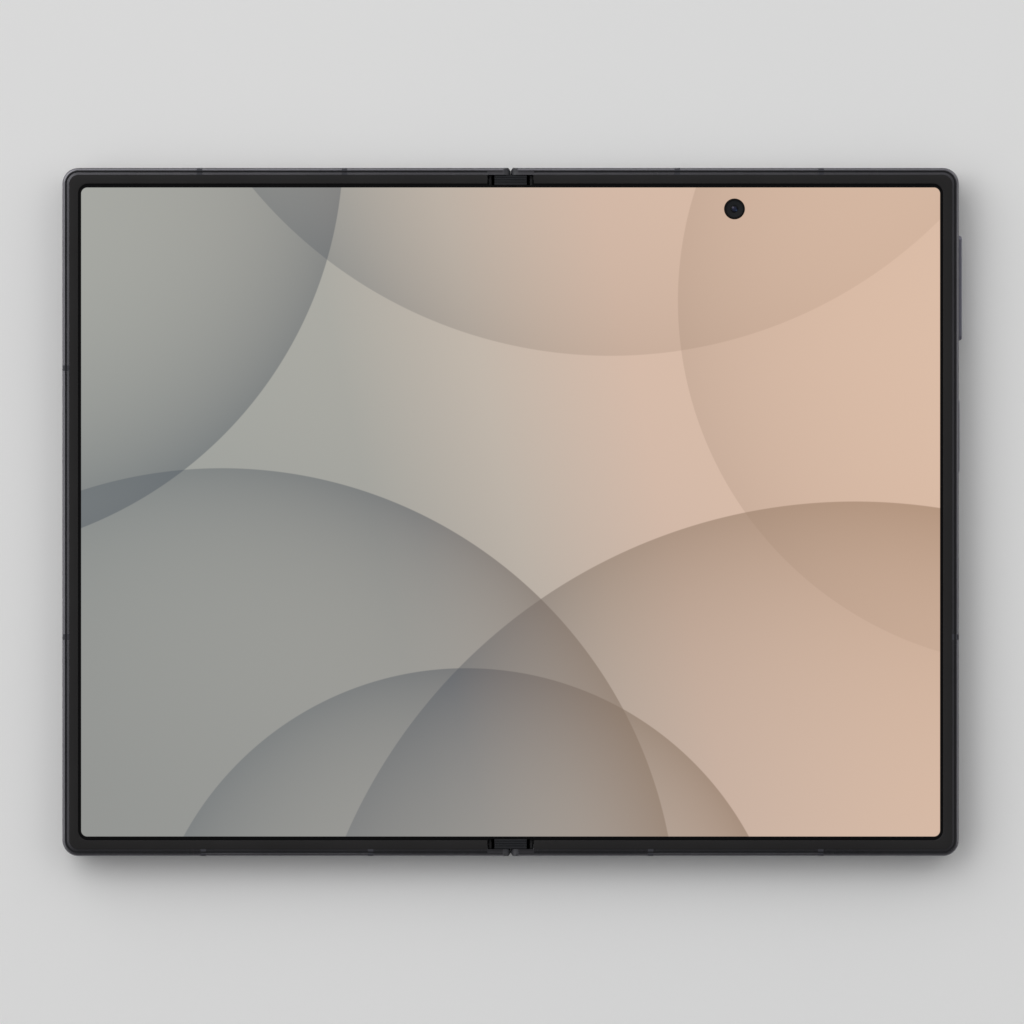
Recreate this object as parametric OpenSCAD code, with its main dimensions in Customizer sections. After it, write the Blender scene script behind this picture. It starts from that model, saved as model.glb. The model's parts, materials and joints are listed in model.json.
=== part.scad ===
// Foldable smartphone lying open on its back, screen up.
// Origin: on the fold line, at the middle of the height, at the level of the camera's lowest face.
// +X runs across the screen to the right, +Y up the screen, +Z out of the screen.

/* [Body] */
// Width of one half, from the fold line to the outer edge
half_w = 80.7; // [76:0.1:90]
// Height of the phone
body_h = 123.9; // [116:0.1:135]
// Thickness of one half at its edge, rim included
half_t = 4.5; // [4.4:0.05:5]
// Outer corner radius, seen from the front
corner_r = 2.9; // [2.88:0.02:6]
// Thickness of the frame's side wall
frame_wall = 1.26; // [1.2:0.02:1.3]
// Rounding along the frame's outer edges
edge_r = 0.5; // [0.3:0.05:0.6]
// Width of the fine groove along the frame's top
groove_w = 0.3; // [0.15:0.05:0.35]
// Depth of that groove
groove_t = 0.12; // [0.05:0.01:0.15]
// Thickness of the deck that carries the display
deck_t = 0.7; // [0.6:0.05:0.75]
// Thickness of the back glass and the cover glass
glass_t = 0.5; // [0.4:0.05:0.6]
// Width of the frame's back edge round the glass
back_rim_w = 0.9; // [0.8:0.02:1]

/* [Screen] */
// Height of the raised rim above the screen
rim_h = 0.2; // [0.1:0.05:0.25]
// Width of the rim
rim_w = 1.6; // [1.4:0.02:1.62]
// Width of the rim's skirt that stands beside the display
skirt_w = 0.8; // [0.6:0.05:1]
// Radius of the rim's inner corners
rim_in_r = 1.8; // [1:0.1:3]
// Thickness of the flexible display sheet
panel_t = 0.4; // [0.3:0.02:0.42]
// Thickness of the metal plate under the rigid part of the display
plate_t = 0.3; // [0.25:0.01:0.32]
// Radius of the inner camera's window
inner_cam_r = 1.8; // [1.4:0.05:2]
// Place of the inner camera across the screen
inner_cam_x = 40.3; // [36:0.1:44]
// Distance of the inner camera from the top edge
inner_cam_top = 7.4; // [7:0.1:8.4]

/* [Hinge] */
// Depth of the two hinge axes below the screen's surface
axis_depth = 1.1; // [1.08:0.01:1.14]
// Gap between the two rims when the phone is closed
rim_gap = 0.1; // [0.08:0.02:0.2]
// Gap between the two halves at the fold line
fold_gap = 0.1; // [0.08:0.02:0.3]
// Thickness of the frame's lip behind the hinge cover
lip_t = 0.5; // [0.4:0.02:0.55]
// Running gap round the hinge cover
cover_gap = 0.1; // [0.08:0.01:0.14]
// Wall of the hinge cover
cover_wall = 0.45; // [0.35:0.01:0.48]
// Distance of each hinge module from the middle of the height
module_y = 38; // [34:0.5:42]
// Radius of the hinge shafts
shaft_r = 0.3; // [0.26:0.01:0.31]
// Radius of the arms' knuckles
knuckle_r = 0.55; // [0.5:0.01:0.56]
// Thickness of the hinge arms
arm_t = 0.8; // [0.6:0.05:0.85]
// Width of the main arms
arm_w = 5; // [4:0.1:5.4]
// Width of the geared arms
gear_w = 2.4; // [1.6:0.1:2.6]
// How far the arms reach from the fold line
arm_reach = 9.6; // [9:0.1:10.4]
// Pitch radius of the four synchronising gears
gear_r = 0.7; // [0.68:0.01:0.71]
// Radius of the idler gears' pins
idler_pin_r = 0.2; // [0.16:0.01:0.24]
// Thickness of the wing plates
wing_t = 0.15; // [0.12:0.01:0.18]
// Running clearance of bores on their shafts
bore_gap = 0.02; // [0.01:0.01:0.03]

/* [Keys] */
// Length of the volume key
volume_len = 18.9; // [16:0.1:21]
// Distance of the volume key's middle from the top edge
volume_down = 21.6; // [20:0.1:24]
// How far the volume key stands out
volume_out = 0.6; // [0.4:0.05:0.7]
// Length of the power key
power_len = 13.1; // [11:0.1:14]
// Distance of the power key's middle from the top edge
power_down = 48.3; // [47:0.1:50]
// How far the power key stands out
power_out = 0.18; // [0.1:0.02:0.3]
// Height of both keys, across the phone's edge
key_h = 1.7; // [1.4:0.05:1.8]
// Clearance round the keys
key_gap = 0.08; // [0.06:0.01:0.1]

/* [Cameras] */
// Width of the rear camera island
island_w = 16; // [14.4:0.1:18]
// Length of the rear camera island
island_l = 45; // [43:0.5:50]
// Height of the island above the back
island_h = 1.5; // [1.2:0.05:1.8]
// Height of the lens rings above the island
lens_ring_h = 0.3; // [0.2:0.05:0.4]
// Outer radius of the lens rings
lens_ring_r = 5.3; // [5:0.1:5.8]
// Distance between neighbouring rear lenses
lens_pitch = 14; // [13:0.1:15]
// Distance of the island's middle from the outer edge
island_in = 14.2; // [13:0.1:15]
// Distance of the island's middle from the top edge
island_down = 26.5; // [25.5:0.1:28]
// Side of the square rear camera modules
rear_module_w = 9.6; // [9:0.1:10.4]
// Radius of the flash window
flash_r = 2.2; // [1.6:0.1:2.6]

/* [Inside] */
// Width of the antenna breaks in the frame
break_w = 1; // [0.8:0.05:1.3]
// Thickness of the circuit boards
board_t = 0.6; // [0.5:0.05:0.65]
// Height of the pads that carry the boards
board_pad = 0.5; // [0.4:0.02:0.55]
// Thickness of the main battery
battery_t = 2.1; // [1.8:0.05:2.15]
// Thickness of the second battery, behind the cover display
battery2_t = 1.6; // [1.4:0.05:1.7]
// Thickness of the cover display's panel
cover_panel_t = 0.58; // [0.5:0.01:0.62]
// Inner width of the charging socket
usb_w = 8.34; // [8.2:0.02:8.6]
// Inner height of the charging socket
usb_h = 2.56; // [2.5:0.01:2.58]
// Depth of the charging socket
usb_depth = 7.3; // [6.8:0.1:8]
// Place of the charging socket across the right half
usb_x = 40; // [38:0.1:42]
// Width of the card tray
tray_w = 13; // [12:0.1:14]
// Length of the card tray behind its face
tray_len = 14; // [12:0.5:15]

/* [Hidden] */
$fn = 48;

// Levels, upwards from the camera's lowest face
z_back = island_h + lens_ring_h;
z_glass = z_back + glass_t;
z_rim = z_back + half_t;
z_disp = z_rim - rim_h;
z_panel = z_disp - panel_t;
z_plate = z_panel - plate_t;
z_deck = z_plate - deck_t;
z_mid = (z_back + z_rim) / 2;
z_axis = z_disp - axis_depth;

// Plan sizes
half_h = body_h / 2;
inner_x = half_w - frame_wall;
inner_y = half_h - frame_wall;
tie = 0.1;
seam = 0.05;
through = 1;
hole_end = 0.15;

// Hinge: the axes lie so that the closed rims keep rim_gap between them
nose_r = z_rim - z_axis;
axis_x = nose_r + rim_gap / 2;
pocket_r = z_axis - z_back - lip_t;
cover_r = pocket_r - cover_gap;
cover_in_r = cover_r - cover_wall;
foot_screw_in = 0.6 * cover_wall;
fold_x = fold_gap / 2;
notch_w = 0.37;
notch_l = 0.5;
wall_x = axis_x + pocket_r;
flex_x = wall_x - seam;
deck_x = wall_x + 0.85;
glass_x = wall_x + 0.95;
ledge_x = wall_x + 1.6;
rim_x = wall_x + 0.15;
spine_y = inner_y - cover_gap;
cap_l = 1.7;
cap_y = spine_y - cap_l;
flex_y = cap_y - seam;
cover_top = z_axis + 0.35;
cap_w = 5.8;
cap_grooves = 3;
cap_groove_t = 0.12;

// Wing plates: each turns on a bead at its outer edge
bead_r = 0.2;
wing_gap = 0.02;
wing_x = wall_x + 0.55;
wing_z = z_panel - wing_gap - bead_r;
wing_in = axis_x + knuckle_r + 0.1;
wing_y = flex_y - 0.3;
ledge_z = wing_z - bead_r - wing_gap;

// Hinge modules, in their own y: geared arm, main arm, cam follower, springs, all on two shafts
slot_gap = 0.1;
end_gap = 0.1;
bracket_wall = 1.2;
gear_y0 = -10.7;
gear_y1 = gear_y0 + gear_w;
wall_ys = [gear_y0 - end_gap - bracket_wall, gear_y1 + end_gap, 9];
arm_y0 = wall_ys[1] + bracket_wall + end_gap;
arm_y1 = arm_y0 + arm_w;
cam_len = 1.4;
cam_y0 = arm_y1 + end_gap;
cam_y1 = cam_y0 + cam_len;
spring_y1 = wall_ys[2] - seam;
module_y0 = wall_ys[0];
module_y1 = wall_ys[2] + bracket_wall;
cable_half = 7;
cable_t = 0.1;
cable_z = z_deck - 0.2;
plate_w = 1.4;
plate_narrow = 0.6;
centre_t = 0.25;
centre_top = z_axis + knuckle_r - seam;
centre_z = centre_top - centre_t;
foot_h = 0.5;
foot_w = 2.4;
foot_l = 2;
screw_shank_r = 0.3;
screw_head_r = 0.6;
screw_head_t = 0.3;
screw_gap = 0.03;
rail_w = 0.75;
rail_z = 0.5;
rail_x = axis_x + knuckle_r + 0.175;
rail_top = z_axis - knuckle_r - 0.7;
wall_side = 0.6;
web_t = 0.5;
arm_screw_x = arm_reach - 1.8;
main_screw_dy = arm_w / 2 - 1;

// Synchronising gears
teeth = 10;
pitch_angle = 360 / teeth;
gear_module = 2 * gear_r / teeth;
tip_r = gear_r + 0.85 * gear_module;
root_r = gear_r - 1.15 * gear_module;
pressure = 20;
base_r = gear_r * cos(pressure);
backlash = 0.2;
sector_teeth = 4;
idler_x = gear_r;
idler_drop = sqrt(pow(2 * gear_r, 2) - pow(axis_x - idler_x, 2));
idler_z = z_axis - idler_drop;
idler_dir = atan2(idler_drop, axis_x - idler_x);
idler_angle_r = 180;
idler_angle_l = idler_angle_r + pitch_angle / 2;

// Keys
volume_y = half_h - volume_down;
power_y = half_h - power_down;
key_wall_x = inner_x - 0.92;
switch_x = key_wall_x - 0.35;
rail_t = 0.5;
rail_h = 1.9;
flex_strip_t = 0.3;
key_flange_t = 0.4;
key_flange = 0.4;
flange_len = 6;
key_corner = 0.5;
dome_w = 2.2;

// Cameras
island_x = half_w - island_in;
island_y = half_h - island_down;
island_edge = 0.4;
lens_r = lens_ring_r - 0.68;
lens_t = 0.6;
ring_t = lens_ring_h + 0.4;
barrel_r = lens_r - 0.6;
lens_y = [for (i = [-1:1]) island_y + i * lens_pitch];
inner_cam_y = half_h - inner_cam_top;
inner_module_w = 4.4;
inner_bore_r = inner_cam_r + 0.1;
flash_x = island_x - island_w / 2 - flash_r - 3;
flash_y = island_y + lens_pitch;

// Inside
board_z = z_deck - board_pad - board_t;
board_x0 = arm_reach + 2.4;
board_x1 = island_x - island_w / 2 - 0.5;
board_y0 = 12;
board_y1 = inner_y - 1;
tongue_w = 6;
pad_r = 1.3;
board_pads = [[board_x0 + 2, board_y1 - 2], [board_x1 - 2, board_y1 - 2],
              [board_x0 + 2, board_y0 + 2], [board_x1 - 2, board_y0 + 2]];
can_t = 1.1;
can_wall = 0.15;
can_in = 5;
can_gap = 2;
can_top = 12;
usb_wall = 0.2;
usb_side = 0.6;
usb_z = z_plate - usb_h / 2 - usb_wall - 0.05;
usb_front = half_h - 0.1;
usb_board_w = 18;
usb_board_l = 12;
usb_foot = 2;
tongue_t = 0.7;
tongue_len = 4.5;
tongue_foot = 1.2;
tongue_side = 0.82;
battery_r = 1;
battery_gap = 2;
battery_x0 = board_x0 + tongue_w + 1.5;
battery_side = 14.44;
battery_front = 4.55;
battery_x1 = inner_x - battery_side;
battery_y0 = -usb_front + usb_depth + usb_board_l + battery_front;
battery_y1 = board_y0 - battery_gap;
coil_t = 0.12;
coil_edge = 3.75;
coil_band = 10;
coil_r = min(battery_x1 - battery_x0, battery_y1 - battery_y0) / 2 - coil_edge;
coil_in_r = coil_r - coil_band;
motor_gap = 1;
motor_w = 9;
motor_r = 2;
sound_r = 0.6;
sound_pitch = 1.9;
sound_holes = 6;
sound_split = 0.7;
sound_z = z_mid - 0.3;
speaker_side = 1.3;
speaker_l = 11;
mic_r = 0.4;
mic_x = usb_x - 9;
top_mic_x = usb_x - 19;
tray_x = -44;
tray_h = 0.9;
tray_z = z_mid - 0.4;
tray_face_w = tray_w + 2.4;
tray_face_h = 1.4;
tray_gap = 0.08;
tray_wall = 1;
socket_wall = 0.2;
cover_cam_x = -42;
cover_cam_y = half_h - 6;
cover_cam_r = 1.7;
cover_cam_w = 4.4;
earpiece_w = 10;
earpiece_l = 6;
left_battery_gap = 4.41;
left_battery_y0 = -inner_y + tray_len + tray_gap + socket_wall + left_battery_gap;
left_board_side = 19.44;
left_board_top = 1.75;
left_board_x1 = inner_x - left_board_side;
left_board_y0 = 18;
left_board_y1 = cover_cam_y - cover_cam_w / 2 - left_board_top;
left_pads = [[board_x0 + 2, left_board_y1 - 2], [left_board_x1 - 2, left_board_y1 - 2],
             [board_x0 + 2, left_board_y0 + 2], [left_board_x1 - 2, left_board_y0 + 2]];

// Antenna breaks: places along the top, the bottom and the outer edge
right_top_breaks = [30, 55.9];
right_bottom_breaks = [25.2, 55.8];
left_top_breaks = [29.9, 56];
left_bottom_breaks = [25.2, 55.3];
right_side_breaks = [-22.5];
left_side_breaks = [-22.5, 25.9];

graphite = [0.27, 0.28, 0.31];
dark = [0.12, 0.12, 0.12];
steel = [0.62, 0.63, 0.65];
copper = [0.72, 0.45, 0.25];
board_green = [0.1, 0.32, 0.24];

// ---- Shared shapes ----

// A box between two corners
module box(x0, x1, y0, y1, z0, z1) {
    translate([x0, y0, z0]) cube([x1 - x0, y1 - y0, z1 - z0]);
}

// A flat plate with four round corners
module round_plate(x0, x1, y0, y1, z0, z1, r) {
    box(x0 + r, x1 - r, y0, y1, z0, z1);
    box(x0, x1, y0 + r, y1 - r, z0, z1);
    for (x = [x0 + r, x1 - r], y = [y0 + r, y1 - r]) pin_z(x, y, r, z0, z1);
}

// A round pin along Z
module pin_z(x, y, r, z0, z1) {
    translate([x, y, z0]) cylinder(r = r, h = z1 - z0);
}

// A round pin along Y
module pin_y(x, z, r, y0, y1) {
    translate([x, y1, z]) rotate([90, 0, 0]) cylinder(r = r, h = y1 - y0);
}

// A round pin along X
module pin_x(y, z, r, x0, x1) {
    translate([x0, y, z]) rotate([0, 90, 0]) cylinder(r = r, h = x1 - x0);
}

// A section drawn in x and z, drawn out along Y
module along_y(y0, y1) {
    translate([0, y1, 0]) rotate([90, 0, 0]) linear_extrude(y1 - y0) children();
}

// A slot shape, wide in x, with round ends, drawn out along Y
module slot_y(x, z, w, h, y0, y1) {
    box(x - w / 2 + h / 2, x + w / 2 - h / 2, y0, y1, z - h / 2, z + h / 2);
    for (s = [-1, 1]) pin_y(x + s * (w / 2 - h / 2), z, h / 2, y0, y1);
}

// The same shape, wide in y, drawn out along X
module slot_x(y, z, w, h, x0, x1) {
    box(x0, x1, y - w / 2 + h / 2, y + w / 2 - h / 2, z - h / 2, z + h / 2);
    for (s = [-1, 1]) pin_x(y + s * (w / 2 - h / 2), z, h / 2, x0, x1);
}

// The left half is drawn as the right one and mirrored
module left() {
    mirror([1, 0, 0]) children();
}

// A copy for the upper hinge module and a mirrored one for the lower
module both_modules() {
    for (s = [0, 1]) mirror([0, s, 0]) translate([0, module_y, 0]) children();
}

// Follows the right half's top, outer and bottom edges from x0.
// The section's x is the distance from the corner's centre, its y is the height.
module edge_band(x0) {
    for (s = [0, 1]) mirror([0, s, 0]) {
        translate([half_w - corner_r, half_h - corner_r, 0]) rotate_extrude(angle = 90) children();
        translate([x0, half_h - corner_r, 0]) rotate([90, 0, 90])
            linear_extrude(half_w - corner_r - x0) children();
    }
    translate([half_w - corner_r, half_h - corner_r, 0]) rotate([90, 0, 0])
        linear_extrude(body_h - 2 * corner_r) children();
}

// ---- Frame ----

// Section of the frame's wall: rounded outside, with the fine groove on top
module wall_section() {
    difference() {
        union() {
            translate([corner_r - frame_wall, z_back]) square([frame_wall - edge_r, half_t]);
            translate([corner_r - frame_wall, z_back + edge_r]) square([frame_wall, half_t - 2 * edge_r]);
            for (z = [z_back + edge_r, z_rim - edge_r]) translate([corner_r - edge_r, z]) circle(r = edge_r);
        }
        translate([corner_r - edge_r - seam - groove_w, z_rim - groove_t]) square([groove_w, through]);
    }
}

// The two walls' ends at the fold line are rounded about the hinge axis
module fold_nose() {
    along_y(-half_h - through, half_h + through) difference() {
        translate([-through, z_axis]) square([axis_x + through, nose_r + through]);
        translate([axis_x, z_axis]) circle(r = nose_r);
    }
}

// Between the rims' ends the top of the wall is flat, without the groove
module groove_ends() {
    for (s = [0, 1]) mirror([0, s, 0])
        box(fold_x, rim_x, inner_y, half_h - edge_r, z_rim - groove_t - tie, z_rim);
}

// Small cuts off the walls' outer corners at the fold line
module fold_notch() {
    for (s = [0, 1]) mirror([0, s, 0]) translate([fold_x, half_h, z_back - through])
        linear_extrude(half_t + 2 * through)
            polygon([[-through, -notch_l], [0, -notch_l], [notch_w, 0], [notch_w, through],
                     [-through, through]]);
}

// Room for the hinge cover, open towards the fold line
module hinge_pocket() {
    along_y(-inner_y, inner_y) {
        translate([axis_x, z_axis]) circle(r = pocket_r);
        translate([-through, z_axis - pocket_r]) square([axis_x + through, pocket_r + nose_r + through]);
        translate([-through, z_axis]) square([wall_x + through, nose_r + through]);
    }
}

// Slots for the arms and the flexible cable through the hinge-side wall
module arm_slots(x0, x1, top) {
    both_modules() {
        for (y = [[gear_y0, gear_y1], [arm_y0, arm_y1]])
            box(x0, x1, y[0] - slot_gap, y[1] + slot_gap, z_deck - arm_t - slot_gap, top);
    }
    box(x0, x1, -cable_half - slot_gap, cable_half + slot_gap, cable_z - slot_gap, top);
}

// The wall, the deck and the lip of one half, before what is cut for its own pieces
module bare_frame() {
    difference() {
        union() {
            edge_band(fold_x) wall_section();
            groove_ends();
            box(deck_x, inner_x + tie, -inner_y - tie, inner_y + tie, z_deck, z_plate);
            box(fold_x, ledge_x, -inner_y - tie, inner_y + tie, z_back, ledge_z);
        }
        hinge_pocket();
        fold_nose();
        fold_notch();
        arm_slots(wall_x - through, ledge_x + through, z_deck);
        round_plate(glass_x - seam, half_w - back_rim_w, -half_h + back_rim_w, half_h - back_rim_w,
                    z_back - through, z_glass, corner_r - back_rim_w);
        arm_screw_holes();
    }
}

// Threaded holes under the deck for the arms' screws
module arm_screw_holes() {
    at_arm_screws() translate([0, 0, z_deck - tie])
        cylinder(r = screw_shank_r + screw_gap, h = tie + deck_t - hole_end);
}

// The places of the screws that hold the arms, in the right half
module at_arm_screws() {
    both_modules() {
        for (s = [-1, 1]) translate([arm_screw_x, (arm_y0 + arm_y1) / 2 + s * main_screw_dy, 0]) children();
        translate([arm_screw_x, (gear_y0 + gear_y1) / 2, 0]) children();
    }
}

// Boxes that take the antenna breaks out of a frame's wall
module break_boxes(top, bottom, side) {
    w = break_w / 2;
    z0 = z_back - through;
    z1 = z_rim + through;
    for (x = top) box(x - w, x + w, inner_y, half_h + through, z0, z1);
    for (x = bottom) box(x - w, x + w, -half_h - through, -inner_y, z0, z1);
    for (y = side) box(inner_x, half_w + through, y - w, y + w, z0, z1);
}

module breaks(top, bottom, side) {
    difference() {
        intersection() {
            edge_band(fold_x) wall_section();
            break_boxes(top, bottom, side);
        }
        round_plate(glass_x - seam, half_w - back_rim_w, -half_h + back_rim_w, half_h - back_rim_w,
                    z_back - through, z_glass, corner_r - back_rim_w);
    }
}

// Pads under the deck with a threaded hole each, for a circuit board
module pads(places) {
    for (p = places) pin_z(p[0], p[1], pad_r, z_deck - board_pad, z_deck + tie);
}

module pad_holes(places) {
    for (p = places)
        pin_z(p[0], p[1], screw_shank_r + screw_gap, z_deck - board_pad - tie, z_deck + deck_t - hole_end);
}

module key_slot(y, len) {
    slot_x(y, z_mid, len + 2 * key_gap, key_h + 2 * key_gap, inner_x - through, half_w + through);
}

module right_frame() {
    color(graphite) difference() {
        union() {
            bare_frame();
            pads(board_pads);
            // Rail that backs the key switches
            box(switch_x - flex_strip_t - rail_t, switch_x - flex_strip_t, power_y - power_len / 2,
                volume_y + volume_len / 2, z_deck - rail_h, z_deck + tie);
        }
        pad_holes(board_pads);
        break_boxes(right_top_breaks, right_bottom_breaks, right_side_breaks);
        key_slot(volume_y, volume_len);
        key_slot(power_y, power_len);
        // Camera, charging socket, sound and microphone openings
        box(inner_cam_x - inner_module_w / 2 - seam, inner_cam_x + inner_module_w / 2 + seam,
            inner_cam_y - inner_module_w / 2 - seam, inner_cam_y + inner_module_w / 2 + seam,
            z_deck - through, z_plate + through);
        slot_y(usb_x, usb_z, usb_w + 2 * (usb_wall + seam), usb_h + 2 * (usb_wall + seam),
               -half_h - through, -inner_y + through);
        box(usb_x - usb_w / 2 - usb_side, usb_x + usb_w / 2 + usb_side, -inner_y,
            -half_h + usb_depth + 0.4, z_deck - through, z_plate + through);
        for (i = [0:sound_holes - 1])
            pin_y(sound_at(i), sound_z, sound_r, -half_h - through, -inner_y + through);
        pin_y(mic_x, sound_z, mic_r, -half_h - through, -inner_y + through);
        pin_y(top_mic_x, sound_z, mic_r, inner_y - through, half_h + through);
    }
}

module left_frame() {
    color(graphite) left() difference() {
        union() {
            bare_frame();
            pads(left_pads);
        }
        pad_holes(left_pads);
        break_boxes(left_top_breaks, left_bottom_breaks, left_side_breaks);
        // Card tray and earpiece openings
        slot_y(-tray_x, tray_z, tray_face_w + 2 * tray_gap, tray_face_h + 2 * tray_gap,
               -half_h - through, -inner_y + through);
        for (i = [-1.5:1.5])
            pin_y(-tray_x + i * sound_pitch, sound_z, sound_r, inner_y - through, half_h + through);
    }
}

module right_antenna_breaks() {
    color([0.2, 0.2, 0.22]) breaks(right_top_breaks, right_bottom_breaks, right_side_breaks);
}

module left_antenna_breaks() {
    color([0.2, 0.2, 0.22]) left() breaks(left_top_breaks, left_bottom_breaks, left_side_breaks);
}

// ---- Screen ----

// Raised rim round the screen, with a skirt beside the display
module bezel() {
    color(dark) edge_band(rim_x) {
        translate([corner_r - frame_wall - rim_w, z_disp]) square([rim_w, rim_h]);
        translate([corner_r - frame_wall - skirt_w, z_plate]) square([skirt_w, z_rim - z_plate]);
    }
    color(dark) rim_corners();
}

// Fills the rim's inner corners out to their own radius
module rim_corners() {
    x = half_w - frame_wall - rim_w;
    y = half_h - frame_wall - rim_w;
    for (s = [0, 1]) mirror([0, s, 0]) difference() {
        box(x - rim_in_r, x + tie, y - rim_in_r, y + tie, z_disp, z_rim);
        pin_z(x - rim_in_r, y - rim_in_r, rim_in_r, z_disp - through, z_rim + through);
    }
}

module right_bezel() {
    bezel();
}

module left_bezel() {
    left() bezel();
}

// A sheet of the display's outline, from x0 to the rim's skirt
module display_sheet(x0, z0, z1) {
    e = frame_wall + skirt_w + slot_gap;
    r = max(corner_r - e, 0.5);
    y1 = half_h - e;
    x1 = half_w - e;
    box(x0, x1 - r, -y1, y1, z0, z1);
    box(x0, x1, -y1 + r, y1 - r, z0, z1);
    for (s = [-1, 1]) pin_z(x1 - r, s * (y1 - r), r, z0, z1);
}

module right_display_panel() {
    color([0.8, 0.72, 0.64]) difference() {
        display_sheet(flex_x, z_panel, z_disp);
        pin_z(inner_cam_x, inner_cam_y, inner_cam_r, z_panel - through, z_disp + through);
    }
}

module left_display_panel() {
    color([0.62, 0.63, 0.6]) left() display_sheet(flex_x, z_panel, z_disp);
}

module right_display_plate() {
    color(steel) difference() {
        display_sheet(deck_x, z_plate, z_panel);
        pin_z(inner_cam_x, inner_cam_y, inner_bore_r, z_plate - through, z_panel + through);
    }
}

module left_display_plate() {
    color(steel) left() display_sheet(deck_x, z_plate, z_panel);
}

// The part of the display sheet that bends
module display_flex() {
    color([0.7, 0.67, 0.62]) box(-flex_x, flex_x, -flex_y, flex_y, z_panel, z_disp);
}

module inner_camera_lens() {
    color([0.05, 0.05, 0.07])
        pin_z(inner_cam_x, inner_cam_y, inner_cam_r - wing_gap, z_panel, z_disp - wing_gap);
}

module inner_camera_module() {
    w = inner_module_w / 2;
    color([0.15, 0.15, 0.17]) {
        box(inner_cam_x - w, inner_cam_x + w, inner_cam_y - w, inner_cam_y + w, board_z, z_plate - tie);
        pin_z(inner_cam_x, inner_cam_y, inner_cam_r, z_plate - 2 * tie, z_panel);
    }
}

// ---- Back of the right half ----

module right_back_glass() {
    color([0.16, 0.17, 0.2]) difference() {
        round_plate(glass_x, half_w - back_rim_w - seam, -half_h + back_rim_w + seam,
                    half_h - back_rim_w - seam, z_back, z_glass, corner_r - back_rim_w - seam);
        translate([0, 0, -seam]) island_outline(seam, z_back, z_glass + 2 * seam);
        pin_z(flash_x, flash_y, flash_r + seam, z_back - through, z_glass + through);
    }
}

// The island's upright prism, grown by g all round
module island_outline(g, z0, z1) {
    w = island_w / 2 + g;
    l = (island_l - island_w) / 2;
    box(island_x - w, island_x + w, island_y - l, island_y + l, z0, z1);
    for (s = [-1, 1]) pin_z(island_x, island_y + s * l, w, z0, z1);
}

// Half of the island's section, rounded at its lower outer edge
module island_section() {
    z0 = lens_ring_h;
    square_w = island_w / 2;
    translate([0, z0 + island_edge]) square([square_w, z_glass - z0 - island_edge]);
    translate([0, z0]) square([square_w - island_edge, z_glass - z0]);
    translate([square_w - island_edge, z0 + island_edge]) circle(r = island_edge);
}

module camera_island() {
    l = (island_l - island_w) / 2;
    color([0.2, 0.21, 0.23]) difference() {
        union() {
            for (s = [0, 1]) translate([island_x, island_y, 0]) mirror([0, s, 0]) translate([0, l, 0])
                rotate_extrude(angle = 180) island_section();
            for (s = [0, 1]) translate([island_x, island_y, 0]) mirror([s, 0, 0])
                along_y(-l, l) island_section();
        }
        for (y = lens_y) {
            pin_z(island_x, y, lens_ring_r + wing_gap, -through, ring_t);
            pin_z(island_x, y, lens_r - 0.2, 0, z_glass + through);
        }
    }
}

module camera_lens_rings() {
    color(steel) for (y = lens_y) difference() {
        pin_z(island_x, y, lens_ring_r, 0, ring_t);
        pin_z(island_x, y, lens_r, -through, ring_t + through);
    }
}

module camera_lens_glass() {
    color([0.04, 0.04, 0.06]) for (y = lens_y)
        pin_z(island_x, y, lens_r - wing_gap, ring_t - lens_t, ring_t);
}

module rear_camera_modules() {
    w = rear_module_w / 2;
    color([0.13, 0.13, 0.14]) for (y = lens_y) {
        box(island_x - w, island_x + w, y - w, y + w, z_glass + seam, z_deck);
        pin_z(island_x, y, barrel_r, ring_t + seam, z_glass + tie);
    }
}

module flash_window() {
    color([0.9, 0.88, 0.8]) pin_z(flash_x, flash_y, flash_r, z_back, z_glass);
}

// ---- Inside the right half ----

// A circuit board with a flexible tail to the hinge and holes for its screws
module board(x1, y0, y1, places) {
    difference() {
        union() {
            box(board_x0, x1, y0, y1, board_z, board_z + board_t);
            box(board_x0, board_x0 + tongue_w, -cable_half, y0 + tie, board_z, board_z + board_t);
            box(board_x0 - tie, board_x0 + 2, -cable_half, cable_half, board_z, cable_z + cable_t);
            box(flex_x, board_x0, -cable_half, cable_half, cable_z, cable_z + cable_t);
        }
        for (p = places)
            pin_z(p[0], p[1], screw_shank_r + screw_gap, board_z - through, board_z + board_t + through);
    }
}

module main_board() {
    w = inner_module_w / 2 + slot_gap;
    color(board_green) difference() {
        board(board_x1, board_y0, board_y1, board_pads);
        box(inner_cam_x - w, inner_cam_x + w, inner_cam_y - w, inner_cam_y + w,
            board_z - through, board_z + board_t + through);
    }
}

// Thin metal box, open towards its board
module can(x0, x1, y0, y1) {
    difference() {
        box(x0, x1, y0, y1, board_z - can_t, board_z);
        box(x0 + can_wall, x1 - can_wall, y0 + can_wall, y1 - can_wall, board_z - can_t + can_wall,
            board_z + through);
    }
}

module shield_cans() {
    mid = (board_x0 + board_x1) / 2;
    color(steel) {
        can(board_x0 + can_in, mid - can_gap / 2, board_y0 + can_in, board_y1 - can_top);
        can(mid + can_gap / 2, board_x1 - can_in, board_y0 + can_in, board_y1 - can_top);
    }
}

// Screws that hold a board against its pads
module board_screw_set(places) {
    for (p = places) {
        pin_z(p[0], p[1], screw_head_r, board_z - screw_head_t, board_z);
        pin_z(p[0], p[1], screw_shank_r, board_z - screw_head_t, z_deck + 0.2);
    }
}

module board_screws() {
    color(steel) board_screw_set(board_pads);
}

module right_battery() {
    color([0.25, 0.25, 0.27])
        round_plate(battery_x0, battery_x1, battery_y0, battery_y1, z_deck - battery_t, z_deck, battery_r);
}

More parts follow.
